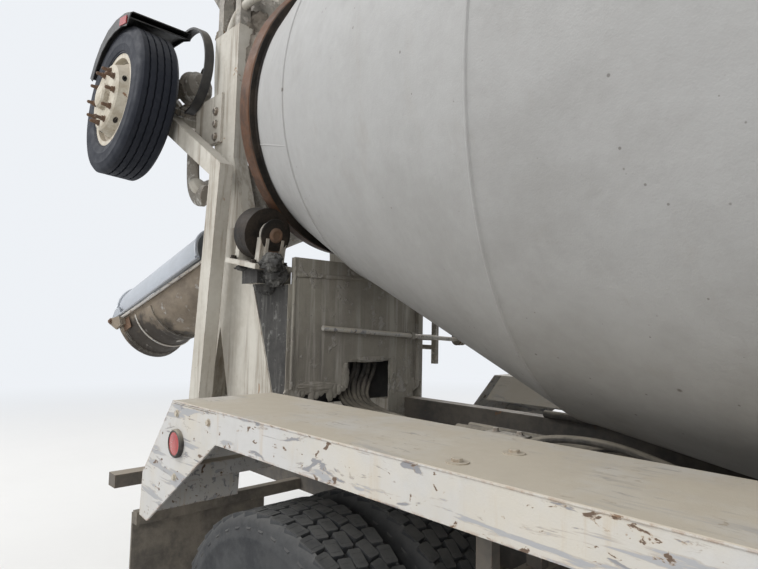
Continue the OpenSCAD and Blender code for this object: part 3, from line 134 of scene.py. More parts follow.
def make_runs():
    """Streaks that run down: noise squeezed sideways and drawn out in height."""
    tree, start, end = shader_group(
        "run_streaks", [("Color", "c", None), ("Streak", "c", None), ("Scale", "f", 14.0),
                        ("Drawn", "f", 0.08), ("Amount", "f", 0.5), ("Cover", "f", 0.5)])
    at = place(tree)
    apart = node(tree, "SeparateXYZ", {0: at})
    low = maths(tree, "MULTIPLY", apart.outputs[2], start.outputs["Drawn"])
    drawn = node(tree, "CombineXYZ", {0: apart.outputs[0], 1: apart.outputs[1], 2: low}).outputs[0]
    lines = noise(tree, drawn, start.outputs["Scale"], 6.0, 0.7, 0.15)
    where = noise(tree, at, 1.7, 2.0, 0.5)
    low_edge = maths(tree, "SUBTRACT", 0.72, maths(tree, "MULTIPLY", start.outputs["Cover"], 0.3))
    picked = node(tree, "MapRange", {"Value": lines, "From Min": low_edge,
                                     "From Max": maths(tree, "ADD", low_edge, 0.14)}).outputs[0]
    mask = maths(tree, "MULTIPLY", maths(tree, "MULTIPLY", picked, step(tree, where, 0.3, 0.62)),
                 start.outputs["Amount"], True)
    return cover(tree, start, end, mask, "Streak")


def make_peel():
    """Paint that has come off in patches, with a dark chipped rim, over what lies under it."""
    tree, start, end = shader_group(
        "peeled_patches", [("Color", "c", None), ("Under", "c", None), ("Rim", "c", None),
                           ("Scale", "f", 6.0), ("Cover", "f", 0.4), ("Long", "f", 1.0)])
    apart = node(tree, "SeparateXYZ", {0: place(tree)})
    along_x = maths(tree, "MULTIPLY", apart.outputs[0], start.outputs["Long"])
    drawn = node(tree, "CombineXYZ", {0: along_x, 1: apart.outputs[1], 2: apart.outputs[2]}).outputs[0]
    shape = noise(tree, drawn, start.outputs["Scale"], 8.0, 0.58, 0.6)
    edge = maths(tree, "SUBTRACT", 0.80, maths(tree, "MULTIPLY", start.outputs["Cover"], 0.35))
    off = node(tree, "MapRange", {"Value": shape, "From Min": edge,
                                  "From Max": maths(tree, "ADD", edge, 0.012)}).outputs[0]
    near = node(tree, "MapRange", {"Value": shape, "From Min": maths(tree, "SUBTRACT", edge, 0.016),
                                   "From Max": edge}).outputs[0]
    rim = maths(tree, "SUBTRACT", near, off, True)
    colour = blend(tree, maths(tree, "MULTIPLY", rim, 0.7), start.outputs["Color"], start.outputs["Rim"])
    tree.links.new(blend(tree, off, colour, start.outputs["Under"]), end.inputs["Color"])
    return tree


def make_specks():
    """Scattered specks and spatter: small cells whose size is picked at random."""
    tree, start, end = shader_group(
        "scattered_specks", [("Color", "c", None), ("Speck", "c", None), ("Scale", "f", 60.0),
                             ("Cover", "f", 0.3), ("Amount", "f", 0.7)])
    at = place(tree)
    cells = node(tree, "TexVoronoi", {"Vector": at, "Scale": start.outputs["Scale"], "Randomness": 1.0})
    chance = node(tree, "SeparateColor", {0: cells.outputs["Color"]}).outputs[0]
    size = maths(tree, "MULTIPLY", maths(tree, "SUBTRACT", start.outputs["Cover"], chance), 0.55)
    soft = maths(tree, "SUBTRACT", size, cells.outputs["Distance"])
    mask = maths(tree, "MULTIPLY", step(tree, soft, 0.0, 0.05), start.outputs["Amount"], True)
    return cover(tree, start, end, mask, "Speck")


def make_dust():
    """Dust that settles on faces turned up, thicker in patches."""
    tree, start, end = shader_group(
        "settled_dust", [("Color", "c", None), ("Dust", "c", None), ("Scale", "f", 3.0),
                         ("Amount", "f", 0.6)])
    turned = node(tree, "SeparateXYZ", {0: node(tree, "NewGeometry").outputs["Normal"]}).outputs[2]
    patch = noise(tree, place(tree), start.outputs["Scale"], 6.0, 0.7)
    lies = maths(tree, "MULTIPLY", step(tree, turned, 0.05, 0.85),
                 maths(tree, "ADD", 0.45, step(tree, patch, 0.3, 0.65)))
    mask = maths(tree, "MULTIPLY", lies, start.outputs["Amount"], True)
    return cover(tree, start, end, mask, "Dust")


def make_crust():
    """Dried concrete: lumps of two sizes as a height, and a mask of where they lie."""
    tree, start, end = shader_group("dried_crust", [("Scale", "f", 20.0), ("Cover", "f", 0.5)],
                                    [("Height", "f"), ("Mask", "f")])
    at = place(tree)
    where = noise(tree, at, maths(tree, "MULTIPLY", start.outputs["Scale"], 0.2), 4.0, 0.7)
    lumps = node(tree, "TexVoronoi", {"Vector": at, "Scale": start.outputs["Scale"]},
                 feature="SMOOTH_F1").outputs["Distance"]
    grit = noise(tree, at, maths(tree, "MULTIPLY", start.outputs["Scale"], 4.0), 6.0, 0.75)
    edge = maths(tree, "SUBTRACT", 0.75, maths(tree, "MULTIPLY", start.outputs["Cover"], 0.5))
    mask = node(tree, "MapRange", {"Value": where, "From Min": edge,
                                   "From Max": maths(tree, "ADD", edge, 0.08)}).outputs[0]
    lump = maths(tree, "ADD", maths(tree, "SUBTRACT", 1.0, lumps), maths(tree, "MULTIPLY", grit, 0.6))
    tree.links.new(maths(tree, "MULTIPLY", lump, mask), end.inputs["Height"])
    tree.links.new(mask, end.inputs["Mask"])
    return tree


def make_wear():
    """Edges rubbed bare: where a rounded normal leaves the face's own."""
    tree, start, end = shader_group(
        "rubbed_edges", [("Color", "c", None), ("Bare", "c", None), ("Amount", "f", 0.6)])
    round_normal = node(tree, "Bevel", {"Radius": 0.012}, samples=4).outputs[0]
    own = node(tree, "NewGeometry").outputs["Normal"]
    dot = node(tree, "VectorMath", {0: round_normal, 1: own}, operation="DOT_PRODUCT").outputs["Value"]
    bent = step(tree, maths(tree, "SUBTRACT", 1.0, dot), 0.02, 0.16)
    broken = step(tree, noise(tree, place(tree), 26.0, 6.0, 0.7), 0.42, 0.62)
    mask = maths(tree, "MULTIPLY", maths(tree, "MULTIPLY", bent, broken), start.outputs["Amount"], True)
    return cover(tree, start, end, mask, "Bare")


def make_spot():
    """A ragged stain about one point, its place given in metres."""
    tree, start, end = shader_group(
        "stained_spot", [("Color", "c", None), ("Stain", "c", None), ("X", "f", 0.0), ("Y", "f", 0.0),
                         ("Z", "f", 0.0), ("Reach", "f", 0.3), ("Amount", "f", 0.8)])
    at = place(tree)
    spot = node(tree, "CombineXYZ", {0: start.outputs["X"], 1: start.outputs["Y"],
                                     2: start.outputs["Z"]}).outputs[0]
    away = node(tree, "VectorMath", {0: at, 1: spot}, operation="DISTANCE").outputs["Value"]
    wander = maths(tree, "MULTIPLY", maths(tree, "SUBTRACT", noise(tree, at, 9.0, 5.0, 0.6), 0.5), 1.1)
    ragged = maths(tree, "ADD", maths(tree, "DIVIDE", away, start.outputs["Reach"]), wander)
    clear = step(tree, ragged, 0.72, 1.0)
    mask = maths(tree, "MULTIPLY", maths(tree, "SUBTRACT", 1.0, clear), start.outputs["Amount"], True)
    return cover(tree, start, end, mask, "Stain")


TONE, RUNS, PEEL, SPECKS, SPOT = make_tone(), make_runs(), make_peel(), make_specks(), make_spot()
DUST, CRUST, WEAR = make_dust(), make_crust(), make_wear()


def rgb(r, g, b):
    return (r, g, b, 1.0)


class Finish:
    """A material whose colour passes through the groups in turn before it reaches its Principled shader."""

    def __init__(self, name, base, roughness=0.7, metallic=0.0, coat=0.0, specular=0.4):
        self.material = bpy.data.materials.new(name)
        self.material.use_nodes = True
        self.tree = self.material.node_tree
        self.shader = self.tree.nodes["Principled BSDF"]
        self.shader.inputs["Specular IOR Level"].default_value = specular
        self.shader.inputs["Metallic"].default_value = metallic
        self.shader.inputs["Coat Weight"].default_value = coat
        self.shader.inputs["Roughness"].default_value = roughness
        self.roughness = roughness
        self.colour = rgb(*base)
        self.height = None
        self.shader.inputs["Base Color"].default_value = self.colour

    def layer(self, group, **values):
        """Passes the colour through a group, with the group's values given by name."""
        made = self.tree.nodes.new("ShaderNodeGroup")
        made.node_tree = group
        for key, value in values.items():
            made.inputs[key].default_value = rgb(*value) if isinstance(value, tuple) else value
        if isinstance(self.colour, bpy.types.NodeSocket):
            self.tree.links.new(self.colour, made.inputs["Color"])
        else:
            made.inputs["Color"].default_value = self.colour
        self.colour = made.outputs["Color"]
        return self

    def crust(self, scale, cover, colour):
        """Dried concrete lying on the surface, as colour and height."""
        made = self.tree.nodes.new("ShaderNodeGroup")
        made.node_tree = CRUST
        made.inputs["Scale"].default_value = scale
        made.inputs["Cover"].default_value = cover
        self.colour = blend(self.tree, made.outputs["Mask"], self.colour, rgb(*colour))
        self.raise_by(made.outputs["Height"], 0.006)
        return self

    def raise_by(self, height, depth):
        """Adds a height to the surface, over those before it."""
        links = {"Height": height, "Distance": depth, "Strength": 0.9}
        if self.height is not None:
            links["Normal"] = self.height
        self.height = node(self.tree, "Bump", links).outputs[0]
        return self

    def grain(self, scale, depth, detail=6.0):
        """A fine roughness of the surface from noise."""
        return self.raise_by(noise(self.tree, place(self.tree), scale, detail, 0.65), depth)

    def done(self, spread=0.12, scale=18.0):
        """Links the colour, a roughness that varies a little, and the heights."""
        self.tree.links.new(self.colour, self.shader.inputs["Base Color"])
        varied = noise(self.tree, place(self.tree), scale, 5.0, 0.6)
        low = max(0.02, self.roughness - spread)
        made = node(self.tree, "MapRange", {"Value": varied, "From Min": 0.3, "From Max": 0.7,
                                            "To Min": low,
                                            "To Max": min(1.0, self.roughness + spread)})
        self.tree.links.new(made.outputs[0], self.shader.inputs["Roughness"])
        if self.height is not None:
            self.tree.links.new(self.height, self.shader.inputs["Normal"])
        return self.material


DRUM_PAINT = (Finish("drum_paint", (0.335, 0.331, 0.322), 0.62)
              .layer(TONE, Tint=(0.265, 0.258, 0.245), Scale=1.3, Amount=0.6)
              .layer(TONE, Tint=(0.385, 0.38, 0.37), Scale=4.5, Amount=0.35)
              .layer(RUNS, Streak=(0.28, 0.26, 0.23), Scale=7.0, Drawn=0.18, Amount=0.35, Cover=0.5)
              .layer(SPECKS, Speck=(0.16, 0.145, 0.13), Scale=34.0, Cover=0.13, Amount=0.8)
              .layer(SPECKS, Speck=(0.12, 0.105, 0.095), Scale=30.0, Cover=0.28, Amount=0.7)
              .layer(SPECKS, Speck=(0.30, 0.27, 0.23), Scale=13.0, Cover=0.08, Amount=0.6)
              .layer(SPECKS, Speck=(0.11, 0.095, 0.08), Scale=11.0, Cover=0.27, Amount=0.85)
              .layer(DUST, Dust=(0.38, 0.355, 0.32), Scale=2.2, Amount=0.30)
              .grain(30.0, 0.0012, 3.0).grain(240.0, 0.0005).done())
CAB_PAINT = (Finish("cab_paint", (0.66, 0.65, 0.62), 0.35, coat=0.35)
             .layer(TONE, Tint=(0.55, 0.53, 0.48), Scale=1.6, Amount=0.45)
             .layer(RUNS, Streak=(0.42, 0.39, 0.33), Scale=16.0, Drawn=0.06, Amount=0.35, Cover=0.45)
             .layer(WEAR, Bare=(0.30, 0.22, 0.16), Amount=0.35)
             .layer(DUST, Dust=(0.52, 0.48, 0.41), Scale=3.0, Amount=0.4)
             .grain(300.0, 0.0003).done())
FENDER_PAINT = (Finish("fender_paint", (0.51, 0.502, 0.487), 0.6)
                .layer(TONE, Tint=(0.45, 0.44, 0.42), Scale=2.4, Amount=0.6)
                .layer(TONE, Tint=(0.56, 0.47, 0.31), Scale=1.5, Amount=0.35)
                .layer(RUNS, Streak=(0.42, 0.30, 0.16), Scale=17.0, Drawn=0.10, Amount=0.45, Cover=0.55)
                .layer(RUNS, Streak=(0.30, 0.28, 0.25), Scale=9.0, Drawn=0.25, Amount=0.4, Cover=0.5)
                .layer(PEEL, Under=(0.345, 0.345, 0.35), Rim=(0.37, 0.32, 0.27), Scale=20.0, Cover=0.58,
                       Long=0.16)
                .layer(PEEL, Under=(0.24, 0.24, 0.25), Rim=(0.30, 0.25, 0.20), Scale=34.0, Cover=0.52,
                       Long=0.20)
                .layer(PEEL, Under=(0.12, 0.08, 0.055), Rim=(0.34, 0.24, 0.15), Scale=38.0, Cover=0.44,
                       Long=0.6)
                .layer(SPECKS, Speck=(0.20, 0.13, 0.08), Scale=70.0, Cover=0.16, Amount=0.7)
                .layer(WEAR, Bare=(0.27, 0.15, 0.08), Amount=0.85)
                .layer(DUST, Dust=(0.47, 0.42, 0.34), Scale=4.0, Amount=0.85)
                .grain(160.0, 0.0008).done())
PEDESTAL_PAINT = (Finish("pedestal_paint", (0.50, 0.475, 0.42), 0.72)
                  .layer(TONE, Tint=(0.36, 0.325, 0.27), Scale=3.0, Amount=0.6)
                  .layer(RUNS, Streak=(0.19, 0.155, 0.115), Scale=20.0, Drawn=0.05, Amount=0.8, Cover=0.75)
                  .layer(PEEL, Under=(0.30, 0.20, 0.13), Rim=(0.22, 0.16, 0.11), Scale=9.0, Cover=0.30)
                  .layer(SPECKS, Speck=(0.16, 0.13, 0.10), Scale=55.0, Cover=0.25, Amount=0.6)
                  .layer(WEAR, Bare=(0.20, 0.14, 0.10), Amount=0.7)
                  .layer(DUST, Dust=(0.42, 0.39, 0.34), Scale=5.0, Amount=0.7)
                  .grain(120.0, 0.0012).done())
PANEL_CONCRETE = (Finish("panel_concrete", (0.30, 0.28, 0.235), 0.9, specular=0.25)
                  .layer(TONE, Tint=(0.21, 0.19, 0.165), Scale=2.6, Amount=0.7)
                  .layer(RUNS, Streak=(0.50, 0.47, 0.42), Scale=15.0, Drawn=0.07, Amount=0.75, Cover=0.75)
                  .layer(RUNS, Streak=(0.13, 0.12, 0.11), Scale=26.0, Drawn=0.05, Amount=0.6, Cover=0.55)
                  .layer(SPECKS, Speck=(0.54, 0.51, 0.46), Scale=70.0, Cover=0.18, Amount=0.5)
                  .layer(DUST, Dust=(0.42, 0.38, 0.33), Scale=5.0, Amount=0.6)
                  .crust(60.0, 0.40, (0.38, 0.355, 0.32)).grain(90.0, 0.0016).done())
GREY_STEEL = (Finish("grey_steel", (0.20, 0.187, 0.165), 0.75)
              .layer(TONE, Tint=(0.38, 0.35, 0.30), Scale=5.0, Amount=0.7)
              .layer(RUNS, Streak=(0.12, 0.10, 0.085), Scale=24.0, Drawn=0.08, Amount=0.6, Cover=0.5)
              .layer(PEEL, Under=(0.20, 0.11, 0.06), Rim=(0.13, 0.09, 0.06), Scale=14.0, Cover=0.36)
              .layer(SPECKS, Speck=(0.47, 0.44, 0.39), Scale=65.0, Cover=0.25, Amount=0.55)
              .layer(WEAR, Bare=(0.30, 0.21, 0.15), Amount=0.55)
              .layer(DUST, Dust=(0.44, 0.40, 0.34), Scale=6.0, Amount=0.75)
              .crust(60.0, 0.45, (0.40, 0.37, 0.33)).grain(140.0, 0.0014).done())
CHASSIS = (Finish("chassis_paint", (0.065, 0.06, 0.055), 0.7)
           .layer(TONE, Tint=(0.15, 0.13, 0.105), Scale=4.0, Amount=0.7)
           .layer(PEEL, Under=(0.16, 0.085, 0.045), Rim=(0.10, 0.06, 0.04), Scale=12.0, Cover=0.36)
           .layer(WEAR, Bare=(0.20, 0.13, 0.09), Amount=0.5)
           .layer(DUST, Dust=(0.30, 0.26, 0.21), Scale=5.0, Amount=0.85)
           .grain(130.0, 0.001).done())
BOOSTER_METAL = (Finish("booster_metal", (0.20, 0.182, 0.155), 0.75)
                 .layer(TONE, Tint=(0.17, 0.15, 0.125), Scale=6.0, Amount=0.7)
                 .layer(RUNS, Streak=(0.10, 0.085, 0.07), Scale=26.0, Drawn=0.08, Amount=0.6, Cover=0.5)
                 .layer(SPECKS, Speck=(0.47, 0.45, 0.41), Scale=60.0, Cover=0.28, Amount=0.6)
                 .layer(WEAR, Bare=(0.24, 0.15, 0.10), Amount=0.6)
                 .layer(DUST, Dust=(0.45, 0.42, 0.37), Scale=6.0, Amount=0.7)
                 .crust(70.0, 0.45, (0.42, 0.40, 0.36)).grain(140.0, 0.0016).done())
CHUTE_PAINT = (Finish("chute_paint", (0.215, 0.175, 0.13), 0.7)
               .layer(TONE, Tint=(0.11, 0.088, 0.068), Scale=3.5, Amount=0.75)
               .layer(RUNS, Streak=(0.11, 0.095, 0.08), Scale=18.0, Drawn=0.15, Amount=0.6, Cover=0.5)
               .layer(PEEL, Under=(0.52, 0.52, 0.50), Rim=(0.20, 0.17, 0.14), Scale=7.0, Cover=0.26)
               .layer(SPOT, Stain=(0.022, 0.018, 0.015), X=-4.78, Y=-0.27, Z=1.36, Reach=0.36, Amount=0.9)
               .layer(WEAR, Bare=(0.45, 0.43, 0.40), Amount=0.6)
               .layer(DUST, Dust=(0.42, 0.39, 0.33), Scale=6.0, Amount=0.5)
               .crust(50.0, 0.30, (0.36, 0.34, 0.31)).grain(120.0, 0.0012).done())
FOLD_PAINT = (Finish("fold_chute_paint", (0.37, 0.395, 0.43), 0.4, coat=0.2)
              .layer(TONE, Tint=(0.31, 0.32, 0.34), Scale=3.0, Amount=0.5)
              .layer(RUNS, Streak=(0.36, 0.34, 0.31), Scale=16.0, Drawn=0.12, Amount=0.4, Cover=0.45)
              .layer(PEEL, Under=(0.33, 0.31, 0.29), Rim=(0.25, 0.20, 0.15), Scale=8.0, Cover=0.24)
              .layer(WEAR, Bare=(0.28, 0.24, 0.20), Amount=0.7)
              .grain(200.0, 0.0006).done())
RING_STEEL = (Finish("ring_steel", (0.105, 0.047, 0.022), 0.6, metallic=0.15, specular=0.3)
              .layer(TONE, Tint=(0.050, 0.029, 0.018), Scale=5.0, Amount=0.8)
              .layer(RUNS, Streak=(0.022, 0.018, 0.015), Scale=12.0, Drawn=0.4, Amount=0.85, Cover=0.75)
              .layer(SPECKS, Speck=(0.26, 0.18, 0.12), Scale=60.0, Cover=0.25, Amount=0.5)
              .grain(110.0, 0.0012).done())
# Near-black grease, made darker so that it also paints the shade the rollers lie in, and used as painted
# shade in the booster wheels' hand holes
GREASE_AND_SHADE = (Finish("black_grease_and_painted_shade", (0.012, 0.0105, 0.009), 0.6, specular=0.22)
          .layer(TONE, Tint=(0.048, 0.036, 0.027), Scale=9.0, Amount=0.7)
          .layer(SPECKS, Speck=(0.28, 0.25, 0.21), Scale=70.0, Cover=0.18, Amount=0.5)
          .grain(60.0, 0.002).done())
RUST = (Finish("rusty_steel", (0.165, 0.098, 0.062), 0.8, metallic=0.1)
        .layer(TONE, Tint=(0.085, 0.062, 0.047), Scale=14.0, Amount=0.7)
        .layer(SPECKS, Speck=(0.36, 0.22, 0.12), Scale=110.0, Cover=0.3, Amount=0.6)
        .grain(220.0, 0.0008).done())
RIM_PAINT = (Finish("rim_paint", (0.50, 0.46, 0.38), 0.65)
             .layer(TONE, Tint=(0.30, 0.25, 0.18), Scale=9.0, Amount=0.7)
             .layer(PEEL, Under=(0.22, 0.12, 0.065), Rim=(0.16, 0.10, 0.06), Scale=16.0, Cover=0.36)
             .layer(SPECKS, Speck=(0.17, 0.13, 0.09), Scale=90.0, Cover=0.3, Amount=0.6)
             .layer(WEAR, Bare=(0.22, 0.14, 0.09), Amount=0.6)
             .layer(DUST, Dust=(0.42, 0.37, 0.30), Scale=8.0, Amount=0.6)
             .grain(160.0, 0.0008).done())
TYRE_DUSTY = (Finish("dusty_tyre", (0.025, 0.0265, 0.029), 0.85, specular=0.3)
              .layer(TONE, Tint=(0.058, 0.059, 0.060), Scale=5.0, Amount=0.75)
              .layer(SPECKS, Speck=(0.16, 0.15, 0.13), Scale=120.0, Cover=0.2, Amount=0.5)
              .layer(WEAR, Bare=(0.13, 0.125, 0.115), Amount=0.5)
              .layer(DUST, Dust=(0.105, 0.103, 0.098), Scale=8.0, Amount=0.6)
              .grain(260.0, 0.0006).done())
TYRE_CLEAN = (Finish("booster_tyre", (0.0085, 0.0105, 0.017), 0.7, specular=0.28)
              .layer(TONE, Tint=(0.018, 0.020, 0.028), Scale=6.0, Amount=0.6)
              .layer(DUST, Dust=(0.09, 0.088, 0.088), Scale=8.0, Amount=0.3)
              .grain(260.0, 0.0005).done())
RUBBER = (Finish("black_rubber", (0.030, 0.028, 0.026), 0.75)
          .layer(TONE, Tint=(0.13, 0.115, 0.095), Scale=11.0, Amount=0.6)
          .layer(DUST, Dust=(0.28, 0.25, 0.20), Scale=9.0, Amount=0.7)
          .grain(180.0, 0.0006).done())
FLAP = (Finish("mud_flap_rubber", (0.105, 0.095, 0.082), 0.9, specular=0.25)
        .layer(TONE, Tint=(0.24, 0.21, 0.17), Scale=3.5, Amount=0.8)
        .layer(RUNS, Streak=(0.33, 0.30, 0.25), Scale=12.0, Drawn=0.12, Amount=0.6, Cover=0.5)
        .grain(90.0, 0.0016).done())
BLACK_PLASTIC = (Finish("black_plastic", (0.022, 0.022, 0.024), 0.5)
                 .layer(TONE, Tint=(0.060, 0.057, 0.052), Scale=8.0, Amount=0.6)
                 .layer(DUST, Dust=(0.22, 0.20, 0.17), Scale=7.0, Amount=0.5)
                 .grain(500.0, 0.0003).done())
POLISHED = (Finish("polished_metal", (0.56, 0.56, 0.57), 0.32, metallic=1.0)
            .layer(TONE, Tint=(0.38, 0.37, 0.35), Scale=7.0, Amount=0.5)
            .layer(SPECKS, Speck=(0.30, 0.27, 0.23), Scale=90.0, Cover=0.25, Amount=0.5)
            .layer(DUST, Dust=(0.42, 0.39, 0.34), Scale=6.0, Amount=0.45)
            .grain(340.0, 0.0003).done())
ZINC = (Finish("zinc_fasteners", (0.42, 0.40, 0.36), 0.5, metallic=0.8)
        .layer(TONE, Tint=(0.22, 0.14, 0.09), Scale=26.0, Amount=0.6)
        .layer(DUST, Dust=(0.42, 0.38, 0.32), Scale=20.0, Amount=0.4)
        .grain(400.0, 0.0003).done())
SEAT_CLOTH = (Finish("seat_cloth", (0.060, 0.064, 0.072), 0.92, specular=0.2)
              .layer(TONE, Tint=(0.11, 0.11, 0.115), Scale=14.0, Amount=0.6)
              .layer(DUST, Dust=(0.20, 0.185, 0.16), Scale=9.0, Amount=0.4)
              .grain(900.0, 0.0008, 2.0).done())
RED_LENS = (Finish("red_lens", (0.36, 0.012, 0.010), 0.22, coat=0.6)
            .layer(TONE, Tint=(0.20, 0.008, 0.008), Scale=30.0, Amount=0.6)
            .layer(DUST, Dust=(0.30, 0.16, 0.13), Scale=20.0, Amount=0.4)
            .grain(300.0, 0.0002).done(0.08))
AMBER = (Finish("amber_lens", (0.62, 0.20, 0.012), 0.22, coat=0.6)
         .layer(TONE, Tint=(0.45, 0.13, 0.01), Scale=30.0, Amount=0.6).grain(300.0, 0.0002).done(0.08))
MIRROR = (Finish("mirror_glass", (0.80, 0.82, 0.83), 0.05, metallic=1.0)
          .layer(TONE, Tint=(0.6, 0.6, 0.58), Scale=9.0, Amount=0.25).done(0.03))
DARK_CONCRETE = (Finish("dark_concrete", (0.062, 0.060, 0.057), 0.9, specular=0.2)
                 .layer(TONE, Tint=(0.032, 0.031, 0.030), Scale=4.0, Amount=0.7)
                 .layer(RUNS, Streak=(0.20, 0.195, 0.18), Scale=26.0, Drawn=0.05, Amount=0.7, Cover=0.7)
                 .layer(RUNS, Streak=(0.028, 0.028, 0.030), Scale=34.0, Drawn=0.04, Amount=0.7, Cover=0.6)
                 .layer(SPECKS, Speck=(0.34, 0.32, 0.29), Scale=80.0, Cover=0.2, Amount=0.5)
                 .crust(70.0, 0.40, (0.14, 0.138, 0.13)).grain(90.0, 0.002).done())
CRUSTED = (Finish("crusted_concrete", (0.21, 0.185, 0.155), 0.95, specular=0.2)
           .layer(TONE, Tint=(0.11, 0.095, 0.08), Scale=11.0, Amount=0.8)
           .layer(SPECKS, Speck=(0.48, 0.45, 0.40), Scale=80.0, Cover=0.3, Amount=0.6)
           .crust(45.0, 0.7, (0.20, 0.175, 0.145)).grain(60.0, 0.008).done())


def clear_glass(name, colour):
    """Window glass: plain transmission, with a film of dust in its roughness."""
    made = Finish(name, colour, 0.06)
    made.shader.inputs["Transmission Weight"].default_value = 0.92
    made.shader.inputs["IOR"].default_value = 1.45
    return made.layer(TONE, Tint=(0.60, 0.62, 0.60), Scale=3.0, Amount=0.3).done(0.05, 6.0)


GLASS = clear_glass("window_glass", (0.78, 0.84, 0.84))
LAMP_GLASS = clear_glass("lamp_glass", (0.90, 0.92, 0.92))

WEARS = {
    "frame_rails": CHASSIS, "front_axle": CHASSIS, "rear_axles": CHASSIS, "walking_beams": CHASSIS,
    "engine": GREY_STEEL, "front_bumper": CAB_PAINT, "cab_shell": CAB_PAINT, "cab_glass": GLASS,
    "cab_interior": BLACK_PLASTIC, "mirrors": BLACK_PLASTIC, "tanks": POLISHED, "step_box": POLISHED,
    "exhaust_stack": POLISHED, "tandem_fenders": FENDER_PAINT, "mud_flaps": FLAP,
    "front_pedestal": PEDESTAL_PAINT, "drum_drive": GREY_STEEL, "rear_pedestal": PEDESTAL_PAINT,
    "splash_panel": PANEL_CONCRETE, "charge_hopper": GREY_STEEL, "collector": GREY_STEEL,
    "ladder": GREY_STEEL, "tail_lamps": RED_LENS, "hood": CAB_PAINT, "grille": POLISHED,
    "headlamps": LAMP_GLASS, "door_left": CAB_PAINT, "door_right": CAB_PAINT, "door_glass_left": GLASS,
    "door_glass_right": GLASS, "knuckle_left": CHASSIS, "knuckle_right": CHASSIS, "drum": DRUM_PAINT,
    "drum_ring": RING_STEEL, "roller_left": GREASE_AND_SHADE, "roller_right": GREASE_AND_SHADE,
    "booster_arms": PEDESTAL_PAINT, "booster_fenders": BLACK_PLASTIC, "chute_base": GREY_STEEL,
    "main_chute": CHUTE_PAINT, "fold_chute": FOLD_PAINT, "chute_cylinder": CHASSIS, "chute_rod": POLISHED,
}
for name, obj in nodes.items():
    finish = WEARS.get(name) or (RIM_PAINT if name.startswith("rim") else TYRE_DUSTY)
    obj.data.materials.clear()
    obj.data.materials.append(finish)


# Surfaces. Each is worked out as whole arrays of points and four-sided faces
def grid_faces(rows, cols, close_rows, close_cols):
    """Faces of a grid of points, joined round where a direction is closed."""
    i, j = np.meshgrid(np.arange(rows if close_rows else rows - 1),
                       np.arange(cols if close_cols else cols - 1), indexing="ij")
    a, b = i * cols + j, i * cols + (j + 1) % cols
    c, d = ((i + 1) % rows) * cols + (j + 1) % cols, ((i + 1) % rows) * cols + j
    return np.stack([a, b, c, d], -1).reshape(-1, 4)


def joined(parts):
    """Several (points, faces) pairs as one."""
    starts = np.cumsum([0] + [len(p) for p, f in parts[:-1]])
    faces = [f + start for (p, f), start in zip(parts, starts)]
    return np.concatenate([p for p, f in parts]), np.concatenate(faces)


def unit(v):
    v = np.asarray(v, float)
    return v / np.linalg.norm(v, axis=-1, keepdims=True)


def bases(normals, spin=0.0):
    """Turning matrices whose third column is each normal."""
    n = unit(np.atleast_2d(normals))
    helper = np.where(np.abs(n[:, 2:3]) < 0.9, [[0.0, 0.0, 1.0]], [[1.0, 0.0, 0.0]])
    a = unit(np.cross(helper, n))
    b = np.cross(n, a)
    c, s = np.cos(spin), np.sin(spin)
    return np.stack([a * c + b * s, b * c - a * s, n], -1)


def copies(shape, places, turns=None):
    """A shape repeated at each place, each copy with its own turning matrix where these are given."""
    p, f = shape
    places = np.asarray(places, float)
    if turns is None:
        turns = np.repeat(np.eye(3)[None], len(places), 0)
    points = np.einsum("nij,kj->nki", turns, p) + places[:, None, :]
    faces = f[None] + (np.arange(len(points)) * len(p))[:, None, None]
    return points.reshape(-1, 3), faces.reshape(-1, 4)


def turned(profile, sides=48, closed=False):
    """A (radius, height) profile turned round +Z."""
    profile = np.asarray(profile, float)
    u = np.linspace(0, 2 * np.pi, sides, endpoint=False)
    r, z = profile[:, 0], profile[:, 1]
    points = np.stack([np.outer(np.cos(u), r), np.outer(np.sin(u), r), np.tile(z, (sides, 1))], -1)
    return points.reshape(-1, 3), grid_faces(sides, len(profile), True, closed)


def collar(inner, outer, low, high, sides):
    """A flat ring about +Z."""
    return turned([(inner, low), (outer, low), (outer, high), (inner, high)], sides, closed=True)


def moved(shape, place=(0, 0, 0), normal=None, spin=0.0):
    """A shape with its +Z turned to a direction, put at a place."""
    p, f = shape
    if normal is not None:
        p = p @ bases(normal, spin)[0].T
    return p + np.asarray(place, float), f


def smooth_path(points, count=40):
    """A smooth curve through the points: Catmull-Rom pieces, evenly sampled."""
    p = np.asarray(points, float)
    p = np.concatenate([[2 * p[0] - p[1]], p, [2 * p[-1] - p[-2]]])
    t = np.linspace(0, len(p) - 3 - 1e-9, count)
    k = t.astype(int)
    s = (t - k)[:, None]
    a, b, c, d = p[k], p[k + 1], p[k + 2], p[k + 3]
    square, cube = 2 * a - 5 * b + 4 * c - d, 3 * b - a - 3 * c + d
    return 0.5 * (2 * b + (c - a) * s + square * s ** 2 + cube * s ** 3)


def along(path, section, hint=(0.13, 0.21, 0.97)):
    """A closed (across, up) section carried along a path, its ends closed to a point."""
    path, section = np.asarray(path, float), np.asarray(section, float)
    t = unit(np.gradient(path, axis=0))
    side = unit(np.cross(t, np.asarray(hint, float)))
    top = np.cross(side, t)
    ring = side[:, None] * section[None, :, 0, None] + top[:, None] * section[None, :, 1, None]
    body = path[:, None] + ring
    ends = [np.repeat(path[k][None, None], len(section), 1) for k in (0, -1)]
    body = np.concatenate([ends[0], body, ends[1]])
    return body.reshape(-1, 3), grid_faces(len(body), len(section), False, True)


def circle(radius, sides=12):
    u = np.linspace(0, 2 * np.pi, sides, endpoint=False)
    return np.stack([np.cos(u), np.sin(u)], -1) * radius


def on_circle(angles, radius=1.0, height=0.0):
    """Points at the angles round +Z."""
    return np.stack([np.cos(angles) * radius, np.sin(angles) * radius, np.full(len(angles), height)], -1)


def tangents(angles):
    """The directions in which a circle about +Z runs at the angles."""
    return np.stack([-np.sin(angles), np.cos(angles), np.zeros(len(angles))], -1)


